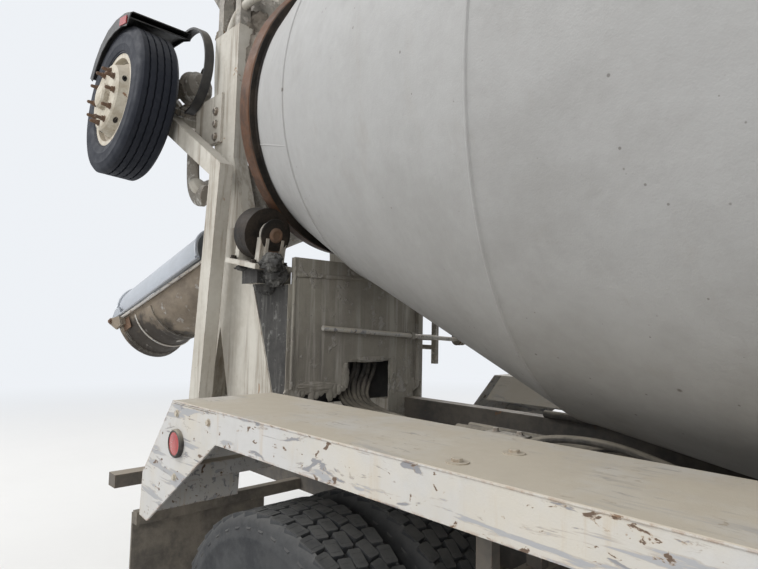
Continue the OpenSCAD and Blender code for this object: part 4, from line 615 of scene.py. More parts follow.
def tube(points, radius, sides=12, count=40):
    return along(smooth_path(points, count) if len(points) > 2 else np.asarray(points, float),
                 circle(radius, sides))


def bar(a, b, width, height, hint=(0, 0, 1)):
    """A straight bar with chamfered corners between two points."""
    w, h, c = width / 2, height / 2, min(width, height) * 0.12
    way = np.asarray(b, float) - np.asarray(a, float)
    hint = hint if np.linalg.norm(np.cross(way, hint)) > 1e-3 * np.linalg.norm(way) else (1, 0, 0)
    section = [(-w, -h + c), (-w, h - c), (-w + c, h), (w - c, h),
               (w, h - c), (w, -h + c), (w - c, -h), (-w + c, -h)]
    return along([a, b], section[::-1], hint)


def slab(low, high, chamfer=0.004):
    """A box with its long edges chamfered."""
    low, high = np.asarray(low, float), np.asarray(high, float)
    size, mid = high - low, (low + high) / 2
    k = int(np.argmax(size))
    a, b = mid.copy(), mid.copy()
    a[k], b[k] = low[k], high[k]
    axis = np.eye(3)[k]
    hint = np.eye(3)[(k + 1) % 3]
    side = np.cross(axis, hint)
    w = float(np.abs(size @ side)) / 2
    h = float(size @ hint) / 2
    c = min(chamfer, w * 0.4, h * 0.4)
    section = [(-w, -h + c), (-w + c, -h), (w - c, -h), (w, -h + c),
               (w, h - c), (w - c, h), (-w + c, h), (-w, h - c)]
    return along([a, b], section, hint)


def hexagon_bolt(size, height, washer=1.35):
    """A hexagon head on its washer, along +Z."""
    disc = turned([(0, 0), (size * washer, 0), (size * washer, height * 0.2), (0, height * 0.2)], 16)
    head = turned([(0, height * 0.2), (size, height * 0.2), (size, height * 0.9), (size * 0.86, height),
                   (0, height)], 6)
    return joined([disc, head])


def piece(name, shapes, finish, body, flat=30, replaces=()):
    """One mesh from shapes, merged and turned outward, riding on a body."""
    points, faces = joined(shapes if isinstance(shapes, list) else [shapes])
    mesh = bpy.data.meshes.new(name)
    mesh.vertices.add(len(points))
    mesh.vertices.foreach_set("co", points.astype(np.float32).ravel())
    mesh.loops.add(len(faces) * 4)
    mesh.loops.foreach_set("vertex_index", faces.astype(np.int32).ravel())
    mesh.polygons.add(len(faces))
    mesh.polygons.foreach_set("loop_start", np.arange(0, len(faces) * 4, 4, dtype=np.int32))
    mesh.update()
    work = bmesh.new()
    work.from_mesh(mesh)
    bmesh.ops.remove_doubles(work, verts=work.verts, dist=1e-6)
    bmesh.ops.dissolve_degenerate(work, edges=work.edges, dist=1e-7)
    bmesh.ops.recalc_face_normals(work, faces=work.faces)
    work.to_mesh(mesh)
    work.free()
    mesh.validate()
    mesh.materials.append(finish)
    obj = bpy.data.objects.new(name, mesh)
    bpy.context.scene.collection.objects.link(obj)
    mesh.polygons.foreach_set("use_smooth", np.ones(len(mesh.polygons), bool))
    mesh.set_sharp_from_angle(angle=np.radians(flat))
    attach(obj, body)
    if replaces:
        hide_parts(*replaces)
    return obj


def at(x, y, z):
    """A place measured from the rear tandem axle, in the part's frame."""
    return np.array([x + AXLE, y, z])


SIDES = ((1, "left"), (-1, "right"))

# Wheels: tyre radii and widths, rim radius, half the spacing of twins, the lip's share of a tyre's width
STEER_R, STEER_W = 0.560, 0.420
DRIVE_R, DRIVE_W = 0.522, 0.279
TRAIL_R, TRAIL_W = 0.478, 0.262
RIM, TWIN, LIP = 0.286, 0.165, 0.38
GROOVE_DEEP, GROOVE_HALF = 0.013, 0.0055
FRONT_X = 5.900
BOOST_X, BOOST_Y, BOOST_Z = -2.365, 0.820, 3.006
LEAN = np.radians(3.9)
# Each row's wheel centre, height of the disc and length of its studs, hub cap, and height of the rim's lip
WHEELS = {
    "front": ((FRONT_X, 1.020, STEER_R), (0.124, 0.060), (0.072, 0.185, 0.035), LIP * STEER_W),
    "mid": ((1.370, 0.915, DRIVE_R), (0.014, 0.045), (0.070, 0.163, 0.030), TWIN + LIP * DRIVE_W),
    "rear": ((0, 0.915, DRIVE_R), (0.014, 0.045), (0.070, 0.163, 0.030), TWIN + LIP * DRIVE_W),
    "booster": ((BOOST_X, BOOST_Y, BOOST_Z), (0.160, 0.055), (0.078, 0.160, 0.045), LIP * TRAIL_W),
}


def tyre_section(r, w, base, grooves=()):
    """(radius, across) points from bead to bead: sidewall rings, shoulder, then grooves or a bald tread."""
    wall = [(0, .38), (.02, .385), (.07, .40), (.10, .435), (.14, .437), (.16, .455), (.30, .484),
            (.34, .487), (.36, .494), (.40, .494), (.42, .490), (.55, .499), (.66, .492), (.68, .497),
            (.72, .495), (.74, .486), (.84, .472), (.92, .450), (.965, .415), (1, .385)]
    side = np.array([(RIM + a * (r - RIM), b * w) for a, b in wall])
    tread = [(r - deep, g * w + k * GROOVE_HALF) for g in sorted(grooves, reverse=True)
             for deep, k in ((0, 1), (GROOVE_DEEP, 0.7), (GROOVE_DEEP, -0.7), (0, -1))]
    tread = tread or [(base, e * w) for e in (0.37, 0.30, -0.30, -0.37)]
    return np.concatenate([side, tread, side[::-1] * [1, -1], [(RIM, -0.2 * w), (RIM, 0.2 * w)]])


def ribbed_tyre(r, w, count=56, sides=224):
    """A rib tyre: the profile turned round, its grooves weaving across as a wave of the angle."""
    profile = tyre_section(r, w, r, (-0.25, -0.085, 0.085, 0.25))
    u = np.linspace(0, 2 * np.pi, sides, endpoint=False)
    radii, across = profile[:, 0], profile[:, 1]
    on_tread = (np.abs(across) < 0.31 * w) & (radii > r - 0.02)
    across = across[None] + 0.0035 * np.abs(((u * count / np.pi) % 2) - 1)[:, None] * on_tread[None]
    points = np.stack([np.cos(u)[:, None] * radii, np.sin(u)[:, None] * radii, across], -1)
    return points.reshape(-1, 3), grid_faces(sides, len(profile), True, True)


def wedge(length, width, low, high, draft, corner):
    """A tread block: a cut-corner base narrowing to its top, along +Z."""
    a, b, c = length / 2, width / 2, corner
    ring = np.array([(-a + c, -b), (a - c, -b), (a, -b + c), (a, b - c),
                     (a - c, b), (-a + c, b), (-a, b - c), (-a, -b + c)])
    rows = [(0, low), (1, low), (1 - draft * 0.5, high - 0.002), (1 - draft, high), (0, high)]
    body = np.stack([np.concatenate([ring * k, np.full((8, 1), z)], -1) for k, z in rows])
    return body.reshape(-1, 3), grid_faces(len(rows), 8, False, True)


def lug_tyre(r, w, count=46):
    """A drive tyre: a bald casing with five rows of blocks, each row set a part of a step round."""
    shapes = [turned(tyre_section(r, w, r - 0.019), 160, closed=True)]
    pitch = 2 * np.pi / count
    axis = np.tile([0.0, 0.0, 1.0], (count, 1))
    for across, width, length, shift in ((-.095, .047, .0615, .0), (.095, .047, .0615, .5),
                                         (-.048, .042, .0635, .5), (.048, .042, .0635, .0),
                                         (.0, .041, .0640, .25)):
        a = (np.arange(count) + shift) * pitch
        round_way = tangents(a)
        skew = 0.16 * (1 if shift == .5 else -1)
        turns = np.stack([unit(round_way + skew * axis), unit(axis - skew * round_way), on_circle(a)], -1)
        shapes.append(copies(wedge(length, width, r - 0.026, r, 0.05, 0.005), axis * across, turns))
        # Two fine lines across each block
        for half in (-0.24, 0.24):
            points, faces = wedge(0.0030, width * 0.72, r - 0.004, r + 0.0006, 0.02, 0.0008)
            shapes.append(copies((points + [half * length, 0, 0], faces), axis * across, turns))
    # Shoulder lugs stepping down the sidewall
    a = (np.arange(count) + 0.25) * pitch
    round_way = tangents(a)
    for side in (-1, 1):
        out = unit(on_circle(a, 1.0, side * 1.1))
        turns = np.stack([round_way, np.cross(out, round_way), out], -1)
        shapes.append(copies(wedge(0.030, 0.040, -0.012, 0.004, 0.15, 0.006),
                             on_circle(a, r - 0.034, side * w * 0.435), turns))
    return joined(shapes)


def hub(row, side):
    """A wheel's centre and its outward axis. The booster's wheels lean."""
    x, y, z = WHEELS[row][0]
    out = (0, side * np.cos(LEAN), np.sin(LEAN)) if row == "booster" else (0, side, 0)
    return at(x, side * y, z), out


drive_tyre = lug_tyre(DRIVE_R, DRIVE_W)
for side, hand in SIDES:
    for row in ("mid", "rear"):
        centre, out = hub(row, side)
        pair = [moved(drive_tyre, centre + [0, side * k * TWIN, 0], out, 0.07 * k) for k in (-1, 1)]
        piece(f"drive_tyres_{row}_{hand}", pair, TYRE_DUSTY, f"wheel_{row}_{hand}",
              replaces=[f"tyres_{row}_{hand}"])
    piece(f"steer_tyre_{hand}", moved(ribbed_tyre(STEER_R, STEER_W), *hub("front", side)), TYRE_DUSTY,
          f"wheel_front_{hand}", replaces=[f"tyre_front_{hand}"])
    piece(f"trailing_tyre_{hand}", moved(ribbed_tyre(TRAIL_R, TRAIL_W), *hub("booster", side)), TYRE_CLEAN,
          f"wheel_booster_{hand}", replaces=[f"tyre_booster_{hand}"])


# Wheel nuts, hub caps and rim lips, drawn about each wheel's own axis, +Z out
def nut_ring(count, radius, height, size=0.0165, stud=0.0):
    """Nuts round +Z, and threaded studs of the length given standing in them."""
    spots = on_circle(np.arange(count) * 2 * np.pi / count, radius, height)
    shapes = [copies(hexagon_bolt(size, 0.022, 1.25), spots)]
    if stud:
        pitch = 0.004
        steps = np.arange(int(stud / pitch))
        threads = np.stack([np.where(steps % 2, 0.0112, 0.0102), steps * pitch], -1)
        threads = np.concatenate([[(0, 0)], threads, [(0.007, stud), (0, stud)]])
        shapes.append(copies(turned(threads, 10), spots))
    return joined(shapes)


def hub_cap(radius, start, height):
    """A domed cap with eight bolts round its foot."""
    dome = turned([(0, start), (radius, start), (radius, start + height * 0.6),
                   (radius * 0.86, start + height * 0.85), (radius * 0.5, start + height),
                   (0, start + height)], 40)
    return joined([dome, nut_ring(8, radius, start - 0.006, 0.009)])


def lip_ring(radius, thick, height):
    """A rolled lip: a round ring about +Z."""
    u = np.linspace(0, 2 * np.pi, 12, endpoint=False)
    return turned(np.stack([radius + np.cos(u) * thick, height + np.sin(u) * thick], -1), 96, closed=True)


# Outset disc of the booster's wheels, with black ovals round its slope: painted shade that stands for the
# hand holes
dish = turned([(0, 0.160), (0.196, 0.160), (0.212, 0.150), (0.232, 0.092),
               (0.250, 0.070), (0.262, 0.045), (0.256, 0.043), (0.243, 0.066),
               (0.222, 0.090), (0.203, 0.140), (0.192, 0.150), (0, 0.150)], 72)
shade_oval_angles = np.radians(np.arange(5) * 72 + 20.0)
# Faces that step a quarter turn round the oval give each painted-shade oval a ragged rim
hole_shade_oval = (turned([(0, -0.003), (0.024, -0.003), (0.023, 0.002), (0, 0.0025)], 24)[0] * [1, 0.62, 1],
        grid_faces(4, 24, False, True))
hole_shade_ovals = joined([moved(hole_shade_oval, spot, out) for spot, out in zip(on_circle(shade_oval_angles, 0.223, 0.121),
                                                            on_circle(shade_oval_angles, 0.945, 0.326))])
for side, hand in SIDES:
    for row, (_, (disc, stud), cap, lip) in WHEELS.items():
        spot, out = hub(row, side)
        body = f"wheel_{row}_{hand}"
        if row == "booster":
            piece(f"booster_wheel_dish_{hand}", moved(dish, spot, out), RIM_PAINT, body)
            # Black ovals on the disc: painted shade in place of open hand holes
            piece(f"booster_hand_hole_shades_{hand}", moved(hole_shade_ovals, spot, out), GREASE_AND_SHADE, body)
        nuts = nut_ring(10, 0.1675, disc, stud=stud)
        piece(f"{row}_wheel_nuts_{hand}", moved(nuts, spot, out), RUST, body)
        piece(f"{row}_hub_cap_{hand}", moved(hub_cap(*cap), spot, out),
              POLISHED if row == "front" else RIM_PAINT, body)
        piece(f"{row}_rim_lip_{hand}", moved(lip_ring(0.298, 0.0055, lip + 0.004), spot, out), RIM_PAINT,
              body)

# The drum's own frame: +X down its axis towards the cab, from the front edge of the ring
DRUM_TILT = np.radians(10.24)
DRUM_TURN = np.array([[np.cos(DRUM_TILT), 0, np.sin(DRUM_TILT)], [0, 1, 0],
                      [-np.sin(DRUM_TILT), 0, np.cos(DRUM_TILT)]])
DRUM_AT = at(-0.952, 0, 2.744)
LAY = np.array([[0, 0, 1.0], [0, 1.0, 0], [-1.0, 0, 0]])


def in_drum(shape):
    """A shape drawn about the drum's axis (its +Z is the axis) put into the part's frame."""
    p, f = shape
    return (p @ LAY.T) @ DRUM_TURN.T + DRUM_AT, f


def drum_point(s, angle, radius):
    """Points on the drum: s along its axis, the angle from the right side up."""
    local = np.stack([s, -np.cos(angle) * radius, np.sin(angle) * radius], -1)
    return local @ DRUM_TURN.T + DRUM_AT


# Along the axis: the drum's mouth, the seams round its shell and the shell's front end
MOUTH_S, SEAM_1, SEAM_2, SEAM_3, END_S = -0.420, 0.488, 1.694, 2.750, 4.050
MOUTH_R, BARREL_R = 0.520, 1.207
BEAD_HALF = 0.006


def bead(radius, s):
    """A weld bead round the shell: four points that swell over the plate."""
    rise, half = 0.0035, BEAD_HALF
    return [(radius, s - half), (radius + rise, s - half * 0.3), (radius + rise, s + half * 0.3),
            (radius, s + half)]


def shell_radius(s):
    """The drum's outer radius, cone, barrel and cone, at s along its axis."""
    return np.interp(s, [MOUTH_S, -0.11, 0, SEAM_1, SEAM_2, SEAM_3, END_S],
                     [MOUTH_R, 0.705, 0.719, 0.886, BARREL_R, BARREL_R, 0.620])


outer = [(MOUTH_R, MOUTH_S), (0.7045, -0.115), (0.7045, -0.002), (0.719, 0.0)] + bead(0.886, SEAM_1)
outer += bead(BARREL_R - 0.0015, SEAM_2) + bead(BARREL_R - 0.0005, SEAM_3) + bead(0.913, 3.40)
outer += [(0.630, 4.030), (0.600, END_S), (0.0, 4.062)]
inner = [(0.0, 4.038), (0.605, 4.036), (1.194, 2.745), (1.194, 1.697), (0.874, 0.490), (0.692, 0.0),
         (0.692, -0.115), (0.508, MOUTH_S)]
profile = np.array(outer + inner)
fine = [profile[0]]
for a, b in zip(profile[:-1], profile[1:]):
    fine += list(a + (b - a) * np.linspace(0, 1, max(2, int(np.hypot(*(b - a)) / 0.10) + 2))[1:, None])
shell = turned(np.array(fine), 240, closed=True)
piece("drum_shell", in_drum(shell), DRUM_PAINT, "drum_body", flat=14, replaces=["drum"])
u = np.linspace(0, 6.283, 14)[:-1]
roll = turned(np.stack([0.518 + 0.014 * np.cos(u), MOUTH_S + 0.014 * np.sin(u)], -1), 160, closed=True)
piece("drum_mouth_roll", in_drum(roll), GREY_STEEL, "drum_body")
flange = turned([(0, 4.045), (0.15, 4.045), (0.15, 4.10), (0.0, 4.10)], 64)
piece("drum_flange", in_drum(joined([flange, moved(nut_ring(16, 0.135, 0, 0.012), (0, 0, 4.10))])),
      GREY_STEEL, "drum_body")

# Weld seams that run along the shell between the rings of plate
SEAM_ANGLE = -0.379
REAR_CONE, MID_CONE = (0.03, SEAM_1 - BEAD_HALF), (SEAM_1 + 2 * BEAD_HALF, SEAM_2 - BEAD_HALF)
BARREL, FRONT_CONE = (SEAM_2 + BEAD_HALF, SEAM_3 - BEAD_HALF), (SEAM_3 + BEAD_HALF, 4.0)
seams = []
for ends, angle in ((REAR_CONE, SEAM_ANGLE), (MID_CONE, -1.9), (BARREL, 2.3), (FRONT_CONE, 0.4),
                    (REAR_CONE, SEAM_ANGLE + 3.14), (MID_CONE, 2.2), (BARREL, -1.75)):
    s = np.linspace(*ends, 24)
    seams.append(along(drum_point(s, np.full(24, angle), shell_radius(s) - 0.002), circle(0.005, 8)))
piece("drum_plate_seams", seams, DRUM_PAINT, "drum_body")

# Two spiral flights inside the drum, seen through its mouth
flights = []
for start in (0.0, np.pi):
    s = np.linspace(-0.36, 3.7, 190)
    turn_by = start + s * 2 * np.pi / 1.55
    wall = shell_radius(s) - 0.016
    inside = wall - np.interp(s, [-0.36, 0.3, 3.7], [0.10, 0.34, 0.42])
    rows = np.stack([wall, inside, inside, wall], -1)
    shift = np.array([0, 0, 0.008, 0.008])
    lean = np.array([0, 0.05, 0.05, 0])
    local = np.stack([s[:, None] + shift + lean, -np.cos(turn_by)[:, None] * rows,
                      np.sin(turn_by)[:, None] * rows], -1)
    points = local.reshape(-1, 3) @ DRUM_TURN.T + DRUM_AT
    ends = np.array([[0, 1, 2, 3], [len(points) - 1, len(points) - 2, len(points) - 3, len(points) - 4]])
    flights.append((points, np.concatenate([grid_faces(190, 4, False, True), ends])))
piece("mixing_flights", flights, GREY_STEEL, "drum_body")

# Bolted hatch on the drum's belly
hatch_s, hatch_angle = 2.15, 2.55
centre = drum_point(hatch_s, hatch_angle, 1.207)
out = unit(centre - drum_point(hatch_s, 0.0, 0.0))
u = np.linspace(0, 2 * np.pi, 48, endpoint=False)
cover_edge = np.stack([np.cos(u) * 0.30, np.sin(u) * 0.20], -1)
rows = np.stack([np.concatenate([cover_edge * k, np.full((48, 1), z)], -1)
                 for k, z in ((0, -0.03), (1, -0.03), (1, 0.012), (0.96, 0.018), (0, 0.020))])
lid = (rows.reshape(-1, 3), grid_faces(5, 48, False, True))
a = np.linspace(0, 2 * np.pi, 16, endpoint=False)
spots = np.stack([np.cos(a) * 0.27, np.sin(a) * 0.175, np.full(16, 0.018)], -1)
heads = copies(hexagon_bolt(0.013, 0.014), spots)
piece("drum_hatch", moved(joined([lid, heads]), centre, out), DRUM_PAINT, "drum_body")

# Grease on the ring's front face and on the cone beside it, and the ring's rusty retainer
grease = turned([(0.7195, 0.001), (0.757, 0.0005), (0.757, 0.0035), (0.731, 0.0055), (0.7225, 0.012),
                 (0.7195, 0.010)], 160, closed=True)
smear = turned([(0.7190, 0.002), (0.7290, 0.028), (0.7300, 0.028), (0.7215, 0.0015)], 160, closed=True)
piece("ring_grease", in_drum(joined([grease, smear])), GREASE_AND_SHADE, "drum_body")
retainer = collar(0.7050, 0.7350, -0.112, -0.0905, 160)
piece("ring_retainer", in_drum(retainer), RUST, "drum_body")


def both(shape):
    """A shape and its mirror image across the truck's middle plane."""
    p, f = shape
    return joined([(p, f), (p * [1, -1, 1], f[:, ::-1])])


def bolts(places, normal, size=0.014, height=0.014):
    places = np.atleast_2d(places)
    return copies(hexagon_bolt(size, height), places, np.repeat(bases(normal), len(places), 0))


# Roller bearings: grease-caked faces whose near-black is also painted shade, rusty shaft ends in pale
# forks, and bolts, in the drum's own frame
ROLLER_S, ROLLER_Y, ROLLER_Z = -0.045, 0.555, -0.7021
shaft_end = turned([(0, 0), (0.038, 0), (0.038, 0.012), (0.030, 0.020), (0.022, 0.021), (0.022, 0.014),
                    (0, 0.014)], 32)
ring_cover = turned([(0.034, -0.001), (0.083, -0.001), (0.081, 0.004), (0.062, 0.007), (0.036, 0.009)], 40,
                    closed=True)
stand, shafts, forks = [], [], []
for k in (-1, 1):
    for end in (-1, 1):
        where = np.array([ROLLER_S + end * 0.121, k * ROLLER_Y, ROLLER_Z])
        for shape, group in ((shaft_end, shafts), (ring_cover, stand)):
            group.append((shape[0][:, ::-1] * [end, 1, 1] + where, shape[1]))
        shafts.append(slab(where + [-0.003, -0.030, -0.135], where + [0.003, 0.030, -0.030], 0.001))
        forks += [slab(where + [-0.013, d - 0.009, -0.15], where + [0.013, d + 0.009, -0.02], 0.003)
                  for d in (-0.044, 0.044)]
        feet = [(ROLLER_S + end * 0.10, k * (ROLLER_Y + d), ROLLER_Z - 0.148) for d in (-0.092, 0.092)]
        stand.append(copies(hexagon_bolt(0.014, 0.016), feet))
for name, group, finish in (("roller_bearing_caps", stand, GREASE_AND_SHADE), ("roller_shaft_ends", shafts, RUST),
                            ("roller_bearing_forks", forks, PEDESTAL_PAINT)):
    points, faces = joined(group)
    piece(name, (points @ DRUM_TURN.T + DRUM_AT, faces), finish, "root")

# Booster latch plates on the posts: three bolts each and a weld bead
plate = [bolts([at(-1.765, 0.515, z) for z in (2.735, 2.815, 2.895)], (0, 1, 0), 0.020, 0.018),
         tube([at(-2.035, 0.516, 2.70), at(-1.99, 0.516, 2.695), at(-1.86, 0.516, 2.692),
               at(-1.71, 0.516, 2.694)], 0.005, 8)]
piece("latch_plate_bolts", both(joined(plate)), ZINC, "root")


def lumps(centre, radii, seed, rows=40, cols=56, rough=0.22):
    """A lumpy closed form: an ellipsoid whose radius is scaled by waves over its angles, and by grit."""
    grit = 0.075
    rng = np.random.default_rng(seed)
    v, w = np.meshgrid(np.linspace(0, np.pi, rows), np.linspace(0, 2 * np.pi, cols, endpoint=False),
                       indexing="ij")
    swell = np.ones_like(v)
    for k in range(1, 9):
        p = rng.uniform(0, 6.28, 3)
        swell += (rough / k ** 0.8 * np.sin(k * v * 1.7 + p[0]) * np.cos((k % 5 + 1) * w + p[1])
                  * np.sin(v) * 0.6)
    coarse = rng.normal(size=v.shape)
    for _ in range(2):
        beside = (np.roll(coarse, 1, 1) + np.roll(coarse, -1, 1) + np.roll(coarse, 1, 0)
                  + np.roll(coarse, -1, 0))
        coarse = (coarse * 2 + beside) / 6
    swell += grit * coarse / coarse.std() * np.sin(v)
    d = np.stack([np.sin(v) * np.cos(w), np.sin(v) * np.sin(w), np.cos(v)], -1) * swell[..., None]
    return (d * radii + centre).reshape(-1, 3), grid_faces(rows, cols, False, True)


def sheet_of(outline, y0, y1):
    """A flat plate: an (x, z) outline measured from the rear axle, between two |Y| values."""
    ring = np.asarray(outline, float)
    rows = []
    for scale, y in ((0, y0), (1, y0), (1, y1), (0, y1)):
        middle = ring.mean(0)
        flat = middle + (ring - middle) * scale
        rows.append(np.stack([flat[:, 0] + AXLE, np.full(len(ring), y), flat[:, 1]], -1))
    return np.concatenate(rows), grid_faces(4, len(ring), False, True)


# Faces of the posts' legs, dark strips down the splash panel's sides and their knee plates
leg = [(-1.486, 1.152), (-1.020, 1.152), (-1.283, 1.840), (-1.365, 2.046), (-1.40, 2.14), (-1.757, 2.14),
       (-1.757, 2.05)]
piece("post_leg_faces", both(sheet_of(leg, 0.5065, 0.5095)), PEDESTAL_PAINT, "root")
strip = [(-1.015, 1.165), (-0.946, 1.165), (-0.944, 1.790), (-1.255, 1.790)]
knee = [(-1.203, 1.798), (-1.058, 1.798), (-1.058, 1.886), (-1.203, 1.886)]
dark = joined([sheet_of(strip, 0.5062, 0.5085), sheet_of(knee, 0.6142, 0.6175),
               slab(at(-1.0585, 0.510, 1.798), at(-1.0555, 0.617, 1.886))])
piece("panel_side_strips", both(dark), DARK_CONCRETE, "root")


def fitted(shape, factor):
    """A shape made larger by a factor about its own origin."""
    return shape[0] * factor, shape[1]


# Kinked tube with its round end cap, beside the post, and the booster's brake chambers
KINK_Y, CHAMBER_Y = 0.547, 0.475
kink = smooth_path([at(-1.985, KINK_Y, 2.78), at(-1.985, KINK_Y, 2.62), at(-1.965, KINK_Y, 2.47),
                    at(-1.90, KINK_Y, 2.39), at(-1.80, KINK_Y, 2.365)], 36)
u = np.linspace(0, 2 * np.pi, 20, endpoint=False)
oval = np.stack([np.cos(u) * 0.066, np.sin(u) * 0.028], -1)
piece("booster_kinked_tube", both(along(kink, oval, (0, 1, 0))), BOOSTER_METAL, "booster_body")
ball = turned([(0, -0.026), (0.026, -0.022), (0.042, -0.008), (0.044, 0.006), (0.034, 0.020),
               (0.018, 0.027), (0, 0.029)], 28)
piece("booster_tube_cap", both(moved(fitted(ball, 1.4), at(-1.895, 0.548, 2.435), (0.5, -0.1, 0.3))),
      PEDESTAL_PAINT, "booster_body")
chamber = turned([(0, -0.085), (0.055, -0.082), (0.082, -0.060), (0.088, -0.012), (0.098, -0.010),
                  (0.100, 0.0), (0.098, 0.010), (0.088, 0.012), (0.084, 0.050), (0.060, 0.078),
                  (0.020, 0.086), (0.018, 0.098), (0, 0.10)], 40)
clamp = [moved(hexagon_bolt(0.008, 0.030), (0.106, 0, -0.015)),
         slab((0.094, -0.012, -0.014), (0.118, 0.012, 0.014))]
push = turned([(0, -0.18), (0.009, -0.18), (0.009, -0.08), (0, -0.08)], 12)
chamber = fitted(joined([chamber, push] + clamp), 1.18)
piece("booster_brake_chambers", both(joined([
    moved(chamber, at(-2.165, CHAMBER_Y, 3.165), (1, -0.25, 0.15)),
    moved(chamber, at(-2.585, CHAMBER_Y, 3.120), (-1, -0.2, 0.1))])), BOOSTER_METAL, "booster_body")

# Brackets of the chambers, the castings about the kingpins, the tie rod and the air lines
KINGPIN_Y = 0.667
bracket = [slab(at(-2.32, 0.44, 3.055), at(-2.20, 0.51, 3.075)),
           bar(at(-2.22, CHAMBER_Y, 3.06), at(-2.19, CHAMBER_Y, 3.12), 0.07, 0.014),
           bar(at(-2.50, CHAMBER_Y, 3.05), at(-2.42, CHAMBER_Y, 3.06), 0.07, 0.016),
           slab(at(-2.56, 0.44, 3.03), at(-2.40, 0.51, 3.052))]
casting = turned([(0, -0.13), (0.055, -0.13), (0.068, -0.10), (0.060, -0.05), (0.085, -0.03), (0.090, 0.02),
                  (0.066, 0.05), (0.068, 0.10), (0.050, 0.125), (0, 0.13)], 28)
bracket += [moved(casting, at(BOOST_X, KINGPIN_Y, BOOST_Z), (0.12, 0.08, 1)),
            bar(at(-2.31, KINGPIN_Y, 3.07), at(-2.10, 0.60, 2.95), 0.05, 0.035),
            bolts([at(BOOST_X + 0.06 * np.cos(t), KINGPIN_Y, BOOST_Z + 0.14) for t in (0.6, 2.2, 3.8, 5.4)],
                  (0, 0, 1), 0.010, 0.012)]
piece("booster_kingpin_castings", both(joined(bracket)), BOOSTER_METAL, "booster_body")
tie_end = turned([(0, -0.05), (0.027, -0.05), (0.030, 0), (0.027, 0.05), (0, 0.05)], 16)
TIE_X, TIE_Z = -2.095, 2.95
tie_rod = [tube([at(TIE_X, -0.60, TIE_Z), at(TIE_X, 0.60, TIE_Z)], 0.019, 14)]
tie_rod += [moved(tie_end, at(TIE_X, k * 0.52, TIE_Z), (0, 1, 0)) for k in (-1, 1)]
piece("booster_tie_rod", tie_rod, BOOSTER_METAL, "booster_body")
lines = [tube([at(-2.165, 0.44, 3.25), at(-2.12, 0.42, 3.31), at(-2.22, 0.40, 3.33), at(-2.34, 0.38, 3.20),
               at(-2.38, 0.33, 3.08), at(-2.38, 0.24, 3.07)], 0.009, 10, 60),
         tube([at(-2.60, 0.46, 3.20), at(-2.64, 0.40, 3.28), at(-2.55, 0.34, 3.27), at(-2.44, 0.28, 3.12),
               at(-2.42, 0.20, 3.07)], 0.009, 10, 60),
         tube([at(-2.24, 0.62, 3.20), at(-2.18, 0.655, 3.12), at(-2.15, 0.64, 3.02),
               at(-2.20, 0.625, 2.94)], 0.010, 10, 40)]
piece("booster_air_lines", both(joined(lines)), RUBBER, "booster_body")

# Angular fender over the raised wheel: a folded panel with a down-turned lip, and its reflector
a = np.radians(np.array([60, 72, 88, 104, 120, 134, 148]))
r_out = np.array([0.556, 0.545, 0.531, 0.531, 0.533, 0.535, 0.540])
path = np.stack([np.cos(a) * r_out, np.zeros(7), np.sin(a) * r_out], -1) + at(BOOST_X, 0, BOOST_Z)
across = np.array([(0.548, -0.040), (0.546, 0.002), (0.552, 0.008), (0.930, 0.008), (0.944, -0.004),
                   (0.950, -0.085), (0.945, -0.086), (0.938, -0.006), (0.930, 0.002), (0.556, 0.002),
                   (0.553, -0.040)])
outward = np.stack([np.cos(a), np.zeros(7), np.sin(a)], -1)
reach, rise = across[None, :, 0, None], across[None, :, 1, None]
points = path[:, None] + outward[:, None] * rise + np.array([0, 1.0, 0]) * reach
n = len(across)
pairs = np.arange(n // 2 - 1)
caps = [np.stack([pairs, pairs + 1, n - 2 - pairs, n - 1 - pairs], -1) + k * n for k in (0, 6)]
folded = (points.reshape(-1, 3), np.concatenate([grid_faces(7, n, False, True)] + caps))
piece("booster_fender_panel", both(folded), BLACK_PLASTIC, "booster_body", flat=25)
reflector = bar(at(-2.13, 0.952, 3.455), at(-2.24, 0.954, 3.475), 0.006, 0.05)
piece("booster_reflector", both(reflector), RED_LENS, "booster_body")

# Concrete crusts on the roller stands and the post's top, and the bent pipe and the hoses beside them
mass = [lumps(at(-1.70, -0.40, 3.33), (0.15, 0.085, 0.16), 3),
        lumps(at(-1.52, -0.36, 3.20), (0.13, 0.08, 0.15), 4),
        lumps(at(-1.80, -0.40, 3.44), (0.10, 0.08, 0.10), 5),
        lumps(at(-1.70, 0.40, 3.33), (0.15, 0.085, 0.14), 6),
        lumps(at(-1.60, -0.33, 3.42), (0.13, 0.09, 0.11), 7),
        lumps(at(-1.62, -0.30, 3.02), (0.09, 0.08, 0.14), 8)]
around = []
for k in (-1, 1):
    around += [lumps(at(-1.13, k * 0.515, 1.815), (0.10, 0.040, 0.070), 41),
               lumps(at(-1.00, k * 0.545, 1.84), (0.085, 0.050, 0.060), 42),
               lumps(at(-0.955, k * 0.600, 1.895), (0.060, 0.050, 0.050), 43),
               lumps(at(-1.19, k * 0.520, 1.93), (0.060, 0.040, 0.060), 44),
               lumps(at(-1.19, k * 0.590, 1.885), (0.070, 0.060, 0.022), 45),
               lumps(at(-1.05, k * 0.600, 1.882), (0.11, 0.045, 0.022), 46)]
piece("roller_stand_crust", around, DARK_CONCRETE, "root", flat=60)
piece("post_top_crust", mass, CRUSTED, "root", flat=60)
pipe = tube([at(-1.72, -0.47, 3.22), at(-1.71, -0.475, 3.36), at(-1.64, -0.47, 3.47),
             at(-1.52, -0.455, 3.525), at(-1.38, -0.43, 3.525), at(-1.27, -0.39, 3.46)], 0.026, 18, 60)
piece("water_pipe_bend", pipe, PEDESTAL_PAINT, "root")
hoses = [tube([at(-1.56, -0.33 + d, 3.46), at(-1.62 + d, -0.30, 3.36), at(-1.58, -0.34 - d, 3.24),
               at(-1.50 + d, -0.38, 3.12), at(-1.52, -0.40, 2.96)], 0.016, 12, 50)
         for d in (0.0, 0.03, -0.035)]
piece("hopper_hoses", hoses, CRUSTED, "root")
